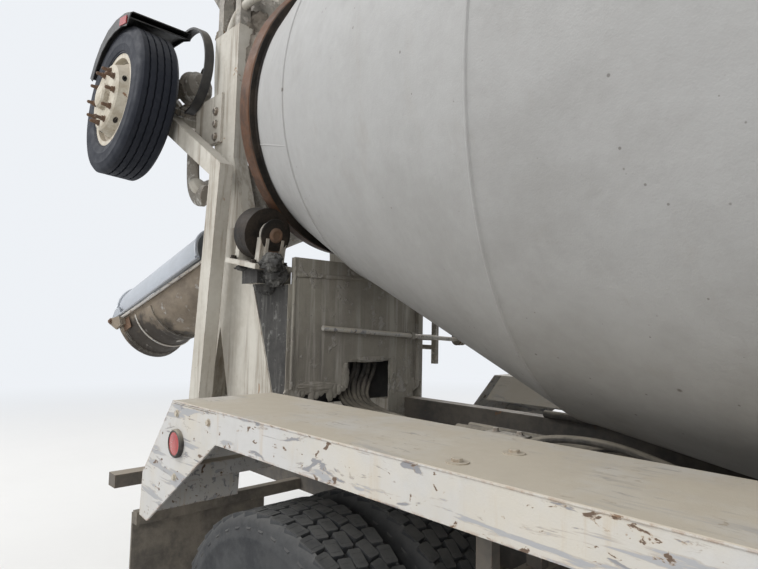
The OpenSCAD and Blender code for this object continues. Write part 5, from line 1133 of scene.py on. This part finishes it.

# Splash panel: folded ridges, crusts and ragged lower edge, the control rod's sleeve, and black sheets
# behind the panel's hole and below its edge that are painted shade
ridge = [bar(at(-0.936, -0.47, 1.845), at(-0.936, 0.42, 1.862), 0.016, 0.020),
         bar(at(-0.934, -0.48, 1.27), at(-0.934, -0.48, 1.93), 0.014, 0.026),
         bar(at(-0.934, 0.45, 1.27), at(-0.934, 0.45, 1.93), 0.014, 0.030),
         lumps(at(-0.941, -0.118, 1.32), (0.012, 0.024, 0.07), 21),
         lumps(at(-0.941, 0.245, 1.34), (0.012, 0.030, 0.08), 22),
         lumps(at(-0.940, -0.33, 1.275), (0.013, 0.13, 0.028), 23),
         lumps(at(-0.940, 0.07, 1.405), (0.012, 0.15, 0.016), 24)]
hang = np.concatenate([np.linspace(-0.49, -0.13, 13), np.linspace(0.26, 0.46, 7)])
for k, y in enumerate(hang):
    low = 0.018 + 0.011 * (k * 7 % 4)
    ridge.append(lumps(at(-0.942, y, 1.262 - 0.35 * low), (0.009, 0.022, low), 60 + k, 20, 24, 0.3))
piece("splash_panel_ridges", ridge, PANEL_CONCRETE, "root", flat=50)
rod = tube([at(-0.900, -0.312, 1.5781), at(-0.900, 0.3, 1.5439), at(-0.900, 0.790, 1.5165)], 0.0135, 16, 30)
piece("control_rod_sleeve", rod, FENDER_PAINT, "root")
# Black sheets behind the panel: painted shade where the space behind the hole and below the panel lies in
# shadow
dark = [slab(at(-1.075, -0.46, 1.165), at(-1.069, 0.42, 1.44)),
        slab(at(-1.069, -0.46, 1.165), at(-0.965, -0.452, 1.44))]
piece("panel_painted_shade_sheets", dark, BLACK_PLASTIC, "root")

# Hoses through the panel's hole, lines along the frame, the valve with its hoses, and the can on the rod
through = []
for k in range(7):
    y, r = -0.075 + 0.040 * k, 0.012 + 0.004 * (k % 2)
    through.append(tube([at(-1.03 - 0.012 * (k % 3), y, 1.46), at(-1.02 - 0.015 * (k % 2), y + 0.01, 1.36),
                         at(-1.04, y - 0.012, 1.26), at(-1.00, y * 0.8 - 0.03, 1.19),
                         at(-0.86, y * 0.7 - 0.07, 1.150), at(-0.45, y * 0.5 - 0.16, 1.135),
                         at(0.20, y * 0.4 - 0.25, 1.130)], r, 12, 80))
piece("hydraulic_hoses", through, RUBBER, "root")
rail_lines = []
for k, (y, z, r) in enumerate(((-0.335, 1.200, 0.020), (-0.300, 1.192, 0.014), (-0.262, 1.200, 0.017),
                               (0.330, 1.196, 0.018))):
    x = np.linspace(0.0, 2.5, 9)
    drop = np.interp(x, [0.0, 0.75, 1.1, 2.5], [0, 0, -0.085, -0.085])
    sway = 0.012 * np.sin(x * 4 + k)
    rail_lines.append(tube(list(np.stack([x + AXLE, y + sway, z + drop], -1)), r, 12, 90))
piece("frame_lines", rail_lines, RUBBER, "root")
loop = [tube([at(0.30, -0.37, 1.19), at(0.46, -0.40, 1.24), at(0.66, -0.42, 1.25), at(0.86, -0.40, 1.20),
              at(1.02, -0.36, 1.12)], 0.013, 12, 50),
        tube([at(0.50, -0.36, 1.19), at(0.64, -0.33, 1.225), at(0.82, -0.35, 1.19), at(1.00, -0.38, 1.115)],
             0.011, 12, 50)]
piece("valve_hoses", loop, RUBBER, "root")
valve = [slab(at(0.18, -0.41, 1.176), at(0.34, -0.35, 1.225)),
         slab(at(0.38, -0.40, 1.176), at(0.45, -0.36, 1.215)),
         bolts([at(0.21, -0.38, 1.225), at(0.31, -0.38, 1.225)], (0, 0, 1), 0.011)]
piece("valve_block", valve, GREY_STEEL, "root")
can_wire = tube([at(-0.90, y, z) for y, z in ((0.79, 1.55), (0.80, 1.60), (0.82, 1.625), (0.84, 1.60),
                                              (0.85, 1.55))], 0.003, 8, 40)
rims = [moved(collar(0.036, 0.041, -0.003, 0.003, 32), at(-0.90, y, 1.52), (0, 1, 0))
        for y in (0.792, 0.820, 0.848)]
piece("rod_can_bands", [can_wire] + rims, RUST, "root")

# Tandem fenders: bolts on tops and sides, bezels and lenses of the lamps, and beads along the edges
FENDER_SIDE, FENDER_TOP = 1.226, 1.310
TOP_BOLTS = ((0.641, 1.152), (0.670, 0.978))
SIDE_BOLTS = ((-0.565, 1.268), (-0.33, 1.268), (-0.565, 1.045), (1.65, 1.268), (1.93, 1.268))
top = [bolts([at(x, y, FENDER_TOP) for x, y in TOP_BOLTS], (0, 0, 1), 0.013, 0.010),
       bolts([at(x, FENDER_SIDE, z) for x, z in SIDE_BOLTS], (0, 1, 0), 0.010, 0.008)]
washer = turned([(0, 0), (0.026, 0), (0.026, 0.003), (0, 0.003)], 24)
top += [moved(washer, at(x, y, FENDER_TOP - 0.0005)) for x, y in TOP_BOLTS]
piece("fender_bolts", both(joined(top)), RIM_PAINT, "root")
bezel = turned([(0.0405, 0.0), (0.050, 0.0), (0.050, 0.010), (0.046, 0.016), (0.0405, 0.0155)], 40,
               closed=True)
facets = turned([(0, 0.014), (0.034, 0.014), (0.0395, 0.0125), (0.0395, 0.010), (0, 0.010)], 40)
piece("fender_lamp_bezels", both(moved(bezel, at(-0.551, FENDER_SIDE, 1.166), (0, 1, 0))), RUBBER, "root")
piece("fender_lamp_lenses", both(moved(facets, at(-0.551, FENDER_SIDE + 0.0005, 1.166), (0, 1, 0))),
      RED_LENS, "root")
edge = tube([at(x, FENDER_SIDE - 0.0005, FENDER_TOP - 0.0005) for x in (-0.60, 0.7, 1.97)], 0.0035, 8, 40)
piece("fender_edge_beads", both(edge), FENDER_PAINT, "root")

# Mud flaps: bolts through the strap, and the anti-sail strap
flap = [bolts([at(-0.960, y, 0.800) for y in (0.665, 0.925, 1.185)], (-1, 0, 0), 0.013, 0.012),
        bar(at(-0.951, 0.62, 0.775), at(-0.951, 1.21, 0.775), 0.006, 0.035)]
piece("mud_flap_straps", both(joined(flap)), RUST, "root")

# Chute: the frame in which its keel runs along +X from the lift hinge
SWING, SLOPE = np.radians(12.0), np.radians(25.5)
LIFT_HINGE = at(-2.136, 0, 1.760)
HEAD = np.array([[-np.cos(SWING), np.sin(SWING), 0], [-np.sin(SWING), -np.cos(SWING), 0], [0, 0, 1]])
DOWN = np.array([[np.cos(SLOPE), 0, np.sin(SLOPE)], [0, 1, 0], [-np.sin(SLOPE), 0, np.cos(SLOPE)]])


def in_chute(shape):
    """A shape drawn along the chute's keel put into the part's frame."""
    p, f = shape
    return (p @ DOWN.T) @ HEAD.T + LIFT_HINGE, f


def trough_half(x):
    """Half the main chute's width at x along its keel."""
    return 0.200 + x * 0.071


def fold_half(x):
    """Half the fold-over chute's width at x along the keel."""
    return np.interp(x, [0.12, 1.135], [0.250, 0.289])


edges = []
x = np.linspace(0.03, 1.11, 12)
for k in (-1, 1):
    edges.append(along(np.stack([x, k * (trough_half(x) + 0.020), np.full(12, 0.350)], -1),
                       circle(0.011, 10)))
a = np.linspace(np.pi, 2 * np.pi, 26)
x0 = 0.93
r = trough_half(x0) + 0.004
edges.append(along(np.stack([np.full(26, x0), np.cos(a) * r, 0.045 + r - 0.004 + np.sin(a) * r], -1),
                   circle(0.006, 8)))
piece("main_chute_ribs", in_chute(joined(edges)), FENDER_PAINT, "main_chute_body")
nuts = [copies(hexagon_bolt(0.015, 0.014), [(1.165, k * 0.331, 0.360)], bases((0, k, 0))) for k in (-1, 1)]
piece("chute_hinge_nuts", in_chute(joined(nuts)), RUST, "fold_chute_body")
plates = [slab((1.00, k * 0.2775 - 0.0025, 0.24), (1.10, k * 0.2775 + 0.0025, 0.33), 0.001)
          for k in (-1, 1)]
piece("chute_side_plates", in_chute(joined(plates)), RUST, "main_chute_body")
shell_edges = []
x = np.linspace(0.13, 1.13, 12)
for k in (-1, 1):
    shell_edges.append(along(np.stack([x, k * (fold_half(x) + 0.018), np.full(12, 0.375)], -1),
                             circle(0.009, 10)))
a = np.linspace(0, np.pi, 26)
for x0 in (0.135, 1.12):
    r = fold_half(x0) + 0.003
    shell_edges.append(along(np.stack([np.full(26, x0), np.cos(a) * r, 0.648 - r + np.sin(a) * r], -1),
                             circle(0.013, 10)))
piece("fold_chute_ribs", in_chute(joined(shell_edges)), FOLD_PAINT, "fold_chute_body")

# Cab: seals, wipers, lamps, mirrors, handles and the seats' cushions
def seal(corners, radius, bend=0.05):
    """A round strip along a closed outline whose corners are rounded."""
    c = np.asarray(corners, float)
    path = []
    for k in range(len(c)):
        before, here, after = c[k - 1], c[k], c[(k + 1) % len(c)]
        a, b = here + unit(before - here) * bend, here + unit(after - here) * bend
        t = np.linspace(0, 1, 7)[:, None]
        path += list(a * (1 - t) ** 2 + 2 * here * t * (1 - t) + b * t ** 2)
    path += [path[0], path[1]]
    return along(path, circle(radius, 10), (0.31, 0.52, 0.79))


def opening(x, half, low, high):
    """The corners of an upright opening that faces along the truck."""
    return [at(x, y, z) for y, z in ((-half, low), (half, low), (half, high), (-half, high))]


SCREEN_X, SCREEN_Z, SCREEN_HALF = 5.010, 2.690, 0.898
SCREEN_OUT = (0.966, 0, 0.2587)


def wind(run, y, out):
    """A place on the windscreen: down its slope from the head, across, and out of it."""
    lean, fall = SCREEN_OUT[2], SCREEN_OUT[0]
    return at(SCREEN_X + run * lean + out * fall, y, SCREEN_Z - run * fall + out * lean)


corners = [wind(run, k * SCREEN_HALF, 0) for run, k in ((0.052, -1), (0.052, 1), (0.818, 1), (0.818, -1))]
back_window = opening(4.078, 0.605, 1.995, 2.485)
post = bar(wind(0.055, 0, -0.004), wind(0.815, 0, -0.004), 0.030, 0.014, (0, 1, 0))
piece("cab_window_seals", [seal(corners, 0.015), seal(back_window, 0.013), post], RUBBER, "root")
wipers = []
pivot = turned([(0, 0), (0.022, 0), (0.020, 0.022), (0, 0.026)], 20)
for k in (-1, 1):
    foot = wind(0.845, k * 0.50, 0.012)
    wipers += [moved(pivot, foot, SCREEN_OUT),
               along([foot, wind(0.76, k * 0.42, 0.045), wind(0.66, k * 0.30, 0.020)], circle(0.007, 8)),
               bar(wind(0.78, k * 0.12, 0.012), wind(0.56, k * 0.47, 0.012), 0.012, 0.016)]
piece("wipers", wipers, BLACK_PLASTIC, "root")
lamp_cap = turned([(0, 0), (0.042, 0), (0.040, 0.014), (0.028, 0.028), (0, 0.034)], 24)
roof = [moved((lamp_cap[0] * [1, 1.6, 1], lamp_cap[1]), at(4.930, y, 2.722), (0.35, 0, 1))
        for y in (-0.62, -0.16, 0, 0.16, 0.62)]
piece("roof_marker_lamps", roof, AMBER, "root")
handles = []
rail_foot = turned([(0, 0), (0.028, 0), (0.028, 0.006), (0, 0.006)], 20)
for k in (-1, 1):
    rail = smooth_path([at(4.150, k * y, z) for y, z in ((1.004, 1.42), (1.050, 1.45), (1.055, 1.8),
                                                         (1.050, 2.17), (1.004, 2.20))], 36)
    handles.append(along(rail, circle(0.014, 12)))
    handles += [moved(rail_foot, at(4.150, k * 1.0, z), (0, k, 0)) for z in (1.42, 2.20)]
piece("cab_grab_rails", handles, POLISHED, "root")
panes = [slab(at(5.1130, k * 1.255 - 0.072, 1.980), at(5.1152, k * 1.255 + 0.072, 2.335), 0.0008)
         for k in (-1, 1)]
piece("mirror_panes", panes, MIRROR, "root")
for side, hand in SIDES:
    edge = [at(x, side * 1.0015, z) for x, z in ((4.312, 1.892), (5.046, 1.892), (4.887, 2.538),
                                                 (4.312, 2.538))]
    division = bar(at(4.78, side * 1.000, 1.895), at(4.78, side * 1.000, 2.535), 0.022, 0.014)
    piece(f"door_seals_{hand}", [seal(edge, 0.011, 0.045), division], RUBBER, f"door_{hand}_body")
    lock = turned([(0, 0), (0.013, 0), (0.012, 0.006), (0, 0.007)], 20)
    grip = [slab(at(4.290, side * 1.012 - 0.010, 1.742), at(4.472, side * 1.012 + 0.022, 1.792), 0.006),
            moved(lock, at(4.500, side * 0.999, 1.72), (0, side, 0)),
            bar(at(4.30, side * 1.002, 1.235), at(5.05, side * 1.002, 1.235), 0.012, 0.030)]
    piece(f"door_trim_{hand}", grip, BLACK_PLASTIC, f"door_{hand}_body")


def cushion(half):
    """A crowned cushion: a superellipsoid, flatter than a ball and fuller than a box."""
    rows, cols, e = 22, 48, 2 / 3.2
    v, w = np.meshgrid(np.linspace(-np.pi / 2, np.pi / 2, rows),
                       np.linspace(0, 2 * np.pi, cols, endpoint=False), indexing="ij")

    def bend_by(value, level):
        return np.sign(value) * np.abs(value) ** level

    d = np.stack([bend_by(np.cos(v), e) * bend_by(np.cos(w), e * 0.6),
                  bend_by(np.cos(v), e) * bend_by(np.sin(w), e * 0.6),
                  bend_by(np.sin(v), e)], -1)
    return (d * half).reshape(-1, 3), grid_faces(rows, cols, False, True)


pad, back = cushion((0.272, 0.262, 0.082)), cushion((0.262, 0.365, 0.080))
for k, hand in SIDES:
    seat = piece(f"seat_cushion_{hand}", moved(pad, at(4.525, k * 0.470, 1.555)), SEAT_CLOTH, "root")
    rest = piece(f"seat_back_{hand}", moved((back[0][:, [1, 0, 2]], back[1]), at(4.330, k * 0.470, 1.965),
                                            (1, 0, 0.1236), np.pi / 2),
                 SEAT_CLOTH, "root")
dials = []
for y, r in ((0.30, 0.030), (0.38, 0.030), (0.47, 0.042), (0.58, 0.042), (0.67, 0.030)):
    dial = turned([(0, 0), (r, 0), (r, 0.010), (r * 0.88, 0.012), (r * 0.86, 0.006), (0, 0.006)], 28)
    dials.append(moved(dial, at(5.022, y, 1.665), (-1, 0, -0.12)))
piece("dash_dials", dials, GREY_STEEL, "root")

# Hood and bumper: ridges, latches, lamp bezels, turn lamps and the grille's frame
ridges = []
TOP_RIDGE = ((5.30, 0.36, 1.789), (5.60, 0.355, 1.772), (6.50, 0.33, 1.683), (6.78, 0.32, 1.607))
SIDE_RIDGE = ((5.29, 1.285), (5.50, 1.327), (5.90, 1.342), (6.30, 1.312), (6.64, 1.205), (6.78, 1.090))
for k in (-1, 1):
    ridges += [along([at(x, k * y, z) for x, y, z in TOP_RIDGE], circle(0.010, 8)),
               along([at(x, k * 1.2405, z) for x, z in SIDE_RIDGE], circle(0.0085, 8))]
piece("hood_ridges", ridges, CAB_PAINT, "hood_body")
turn_a = np.linspace(np.radians(8), np.radians(172), 60)
lips = [along(np.stack([FRONT_X + AXLE + np.cos(turn_a) * 0.722, np.full(60, k * 1.238),
                        STEER_R + np.sin(turn_a) * 0.722], -1), circle(0.013, 10)) for k in (-1, 1)]
piece("wheel_arch_lips", lips, BLACK_PLASTIC, "hood_body")
latches = []
for k in (-1, 1):
    latches += [bar(at(5.34, k * 0.566, 1.50), at(5.34, k * 0.568, 1.62), 0.028, 0.010),
                slab(at(5.315, k * 0.570 - 0.012, 1.47), at(5.365, k * 0.570 + 0.012, 1.50))]
piece("hood_latches", latches, RUBBER, "hood_body")
bezel = turned([(0.098, 0), (0.122, 0), (0.120, 0.012), (0.108, 0.018), (0.098, 0.010)], 48, closed=True)
rims = [moved(bezel, at(6.800, k * 0.880, 0.960), (1, 0, 0)) for k in (-1, 1)]
rims += [seal(opening(6.893, 0.405, 0.905, 1.475), 0.014, 0.05)]
rims += [bar(at(6.897, y, 0.915), at(6.897, y, 1.465), 0.010, 0.008) for y in np.linspace(-0.30, 0.30, 5)]
piece("lamp_bezels_and_grille_frame", rims, POLISHED, "hood_body")
turns_lamps = [slab(at(6.60, k * 1.246 - 0.008, 0.985), at(6.72, k * 1.246 + 0.008, 1.035))
               for k in (-1, 1)]
turns_lamps += [slab(at(6.800, k * 1.10 - 0.045, 0.925), at(6.812, k * 1.10 + 0.045, 0.995))
                for k in (-1, 1)]
piece("turn_lamps", turns_lamps, AMBER, "hood_body")
bumper = [bolts([at(6.969, y, z) for y in (-0.86, -0.40, 0.40, 0.86)], (1, 0, 0), 0.015, 0.010)
          for z in (0.740, 0.530)]
piece("bumper_bolts", bumper, ZINC, "root")

# Frame: bolts on the rails' webs, suspension hanger bolts and the pedestals' feet
RAIL_SIDE = 0.430
webs = []
for x in (-0.96, -0.08, 0.725, 1.67, 2.40, 3.09, 3.60, 4.07):
    for dx in (-0.03, 0.03):
        webs += [bolts([at(x + dx, RAIL_SIDE, z) for z in (0.88, 0.965)], (0, 1, 0), 0.012, 0.010)]
webs += [bolts([at(5.0 + 0.05 * i, RAIL_SIDE, 0.90) for i in range(4)], (0, 1, 0), 0.014, 0.012)]
piece("frame_bolts", both(joined(webs)), RUST, "root")
feet = [bolts([at(2.92 + 0.08 * i, RAIL_SIDE, 1.085) for i in range(4)], (0, 1, 0), 0.013, 0.012),
        bolts([at(-1.86 + 0.22 * i, 0.500, 1.115) for i in range(4)], (0, 1, 0), 0.013, 0.012)]
piece("pedestal_bolts", both(joined(feet)), RUST, "root")

# Tanks: end seams, filler cap and tread on the steps
FUEL_Y, FUEL_Z = 0.880, 0.800
WATER_X, WATER_Z = 3.720, 1.460
tank = []
for x in (4.150, 5.040):
    ring = turned([(0.291, -0.006), (0.296, 0), (0.291, 0.006)], 64, closed=True)
    tank.append(moved(ring, at(x, FUEL_Y, FUEL_Z), (1, 0, 0)))
filler = turned([(0, 0), (0.060, 0), (0.060, 0.016), (0.070, 0.018), (0.070, 0.045), (0.060, 0.052),
                 (0, 0.052)], 32)
tank.append(moved(filler, at(4.45, FUEL_Y + 0.145, FUEL_Z + 0.250), (0, 0.5, 0.866)))
for y in (-0.740, 0.740):
    seam = turned([(0.231, -0.006), (0.236, 0), (0.231, 0.006)], 64, closed=True)
    tank.append(moved(seam, at(WATER_X, y, WATER_Z), (0, 1, 0)))
    end = turned([(0, 0), (0.20, 0), (0.224, -0.004 * np.sign(y)), (0.224, 0.0), (0.12, 0.030),
                  (0, 0.038)], 48)
    tank.append(moved(end, at(WATER_X, y, WATER_Z), (0, np.sign(y), 0)))
cap = turned([(0, 0), (0.055, 0), (0.055, 0.030), (0.062, 0.032), (0.062, 0.05), (0, 0.055)], 28)
tank.append(moved(cap, at(WATER_X, 0.18, 1.688), (0, 0, 1)))
piece("tank_fittings", tank, POLISHED, "root")
tread = []
for x in np.arange(4.32, 4.90, 0.045):
    for z in (0.630, 0.930):
        tread.append(bar(at(x, -1.172, z + 0.001), at(x + 0.022, -1.132, z + 0.001), 0.006, 0.005))
for x in np.arange(4.22, 4.99, 0.045):
    tread.append(bar(at(x, 1.062, 1.0505), at(x + 0.022, 1.168, 1.0505), 0.006, 0.005))
piece("step_treads", tread, POLISHED, "root")

# Exhaust: slotted guard, and the clamps round the stack
STACK_X, STACK_Y = 3.970, -0.880
guard = []
a = np.linspace(0, 2 * np.pi, 14, endpoint=False)
slot = turned([(0, 0.0), (0.011, 0.0), (0.011, 0.0015), (0, 0.0015)], 14)
slot = (slot[0] * [1, 2.0, 1], slot[1])
for row, z in enumerate(np.arange(1.52, 2.26, 0.075)):
    spin = a + (row % 2) * np.pi / 14
    out = on_circle(spin)
    frames = np.stack([np.cross([0, 0, 1.0], out), np.tile([0, 0, 1.0], (14, 1)), out], -1)
    guard.append(copies(slot, on_circle(spin, 0.1050, z) + at(STACK_X, STACK_Y, 0), frames))
piece("stack_guard_slots", guard, BLACK_PLASTIC, "root")
clamps = [moved(collar(*section, 48), at(STACK_X, STACK_Y, z))
          for section, heights in (((0.0625, 0.107, -0.02, 0.004), (1.445, 2.300)),
                                   ((0.0622, 0.068, -0.015, 0.015), (1.20, 2.36))) for z in heights]
piece("stack_clamps", clamps, POLISHED, "root")

# Hopper and ladder: edge roll, bolts and tread plates
HOPPER_HALF = 0.510
rim = [at(x, k * HOPPER_HALF, 3.897) for x, k in ((-2.110, -1), (-1.270, -1), (-1.270, 1), (-2.110, 1))]
hopper = [seal([r - [0, 0, 0.014] for r in rim], 0.012, 0.03)]
for k in (-1, 1):
    sides = [at(x, k * (HOPPER_HALF + 0.001), 3.875) for x in np.linspace(-2.05, -1.33, 6)]
    hopper.append(bolts(sides, (0, k, 0), 0.011, 0.008))
piece("hopper_edge", hopper, GREY_STEEL, "root")
steps = [slab(at(-1.525, 0.890, 1.458 + i * 0.28), at(-1.195, 0.920, 1.468 + i * 0.28)) for i in range(7)]
piece("ladder_treads", steps, GREY_STEEL, "root")

# Floor, lamps and the pale world seen behind the truck
ground = bpy.data.meshes.new("floor")
ground.from_pydata([(-60, -60, 0), (60, -60, 0), (60, 60, 0), (-60, 60, 0)], [], [(0, 1, 2, 3)])
floor = bpy.data.objects.new("floor", ground)
bpy.context.scene.collection.objects.link(floor)
paving = Finish("pale_floor", (0.74, 0.73, 0.71), 0.9, specular=0.1)
ground.materials.append(paving.layer(TONE, Tint=(0.70, 0.69, 0.67), Scale=0.5, Amount=0.3).done())
far = node(paving.tree, "VectorMath", {0: place(paving.tree)}, operation="LENGTH").outputs["Value"]
pale = node(paving.tree, "Emission", {"Color": rgb(0.93, 0.96, 1.0), "Strength": 0.92})
fade = node(paving.tree, "MixShader", {0: step(paving.tree, far, 7.0, 16.0), 1: paving.shader.outputs[0],
                                       2: pale.outputs[0]})
paving.tree.links.new(fade.outputs[0], paving.tree.nodes["Material Output"].inputs["Surface"])


def lamp(name, place_at, aim, energy, size):
    """A square area lamp aimed at a place."""
    data = bpy.data.lights.new(name, "AREA")
    data.energy, data.size = energy, size
    obj = bpy.data.objects.new(name, data)
    bpy.context.scene.collection.objects.link(obj)
    z = unit(np.asarray(place_at, float) - np.asarray(aim, float))
    m = np.eye(4)
    m[:3, :3] = bases(z)[0]
    m[:3, 3] = place_at
    obj.matrix_world = Matrix(m.tolist())


lamp("key", (-9, -9, 11), (-1, 0, 1.5), 1500, 7)
lamp("fill", (7, -11, 6), (1, 0, 1.5), 650, 8)
lamp("back", (-6, 10, 9), (0, 0, 1.5), 600, 8)
world = bpy.data.worlds.new("studio")
bpy.context.scene.world = world
world.use_nodes = True
tree = world.node_tree
tree.nodes.clear()
rays = node(tree, "LightPath")
seen = maths(tree, "MAXIMUM", rays.outputs["Is Camera Ray"], rays.outputs["Is Glossy Ray"])
seen = maths(tree, "MAXIMUM", seen, rays.outputs["Is Transmission Ray"])
level = node(tree, "MapRange", {"Value": seen, "To Min": 0.55, "To Max": 0.92}).outputs[0]
sky = node(tree, "Background", {"Color": rgb(0.93, 0.96, 1.0), "Strength": level})
tree.links.new(sky.outputs[0], node(tree, "OutputWorld").inputs["Surface"])
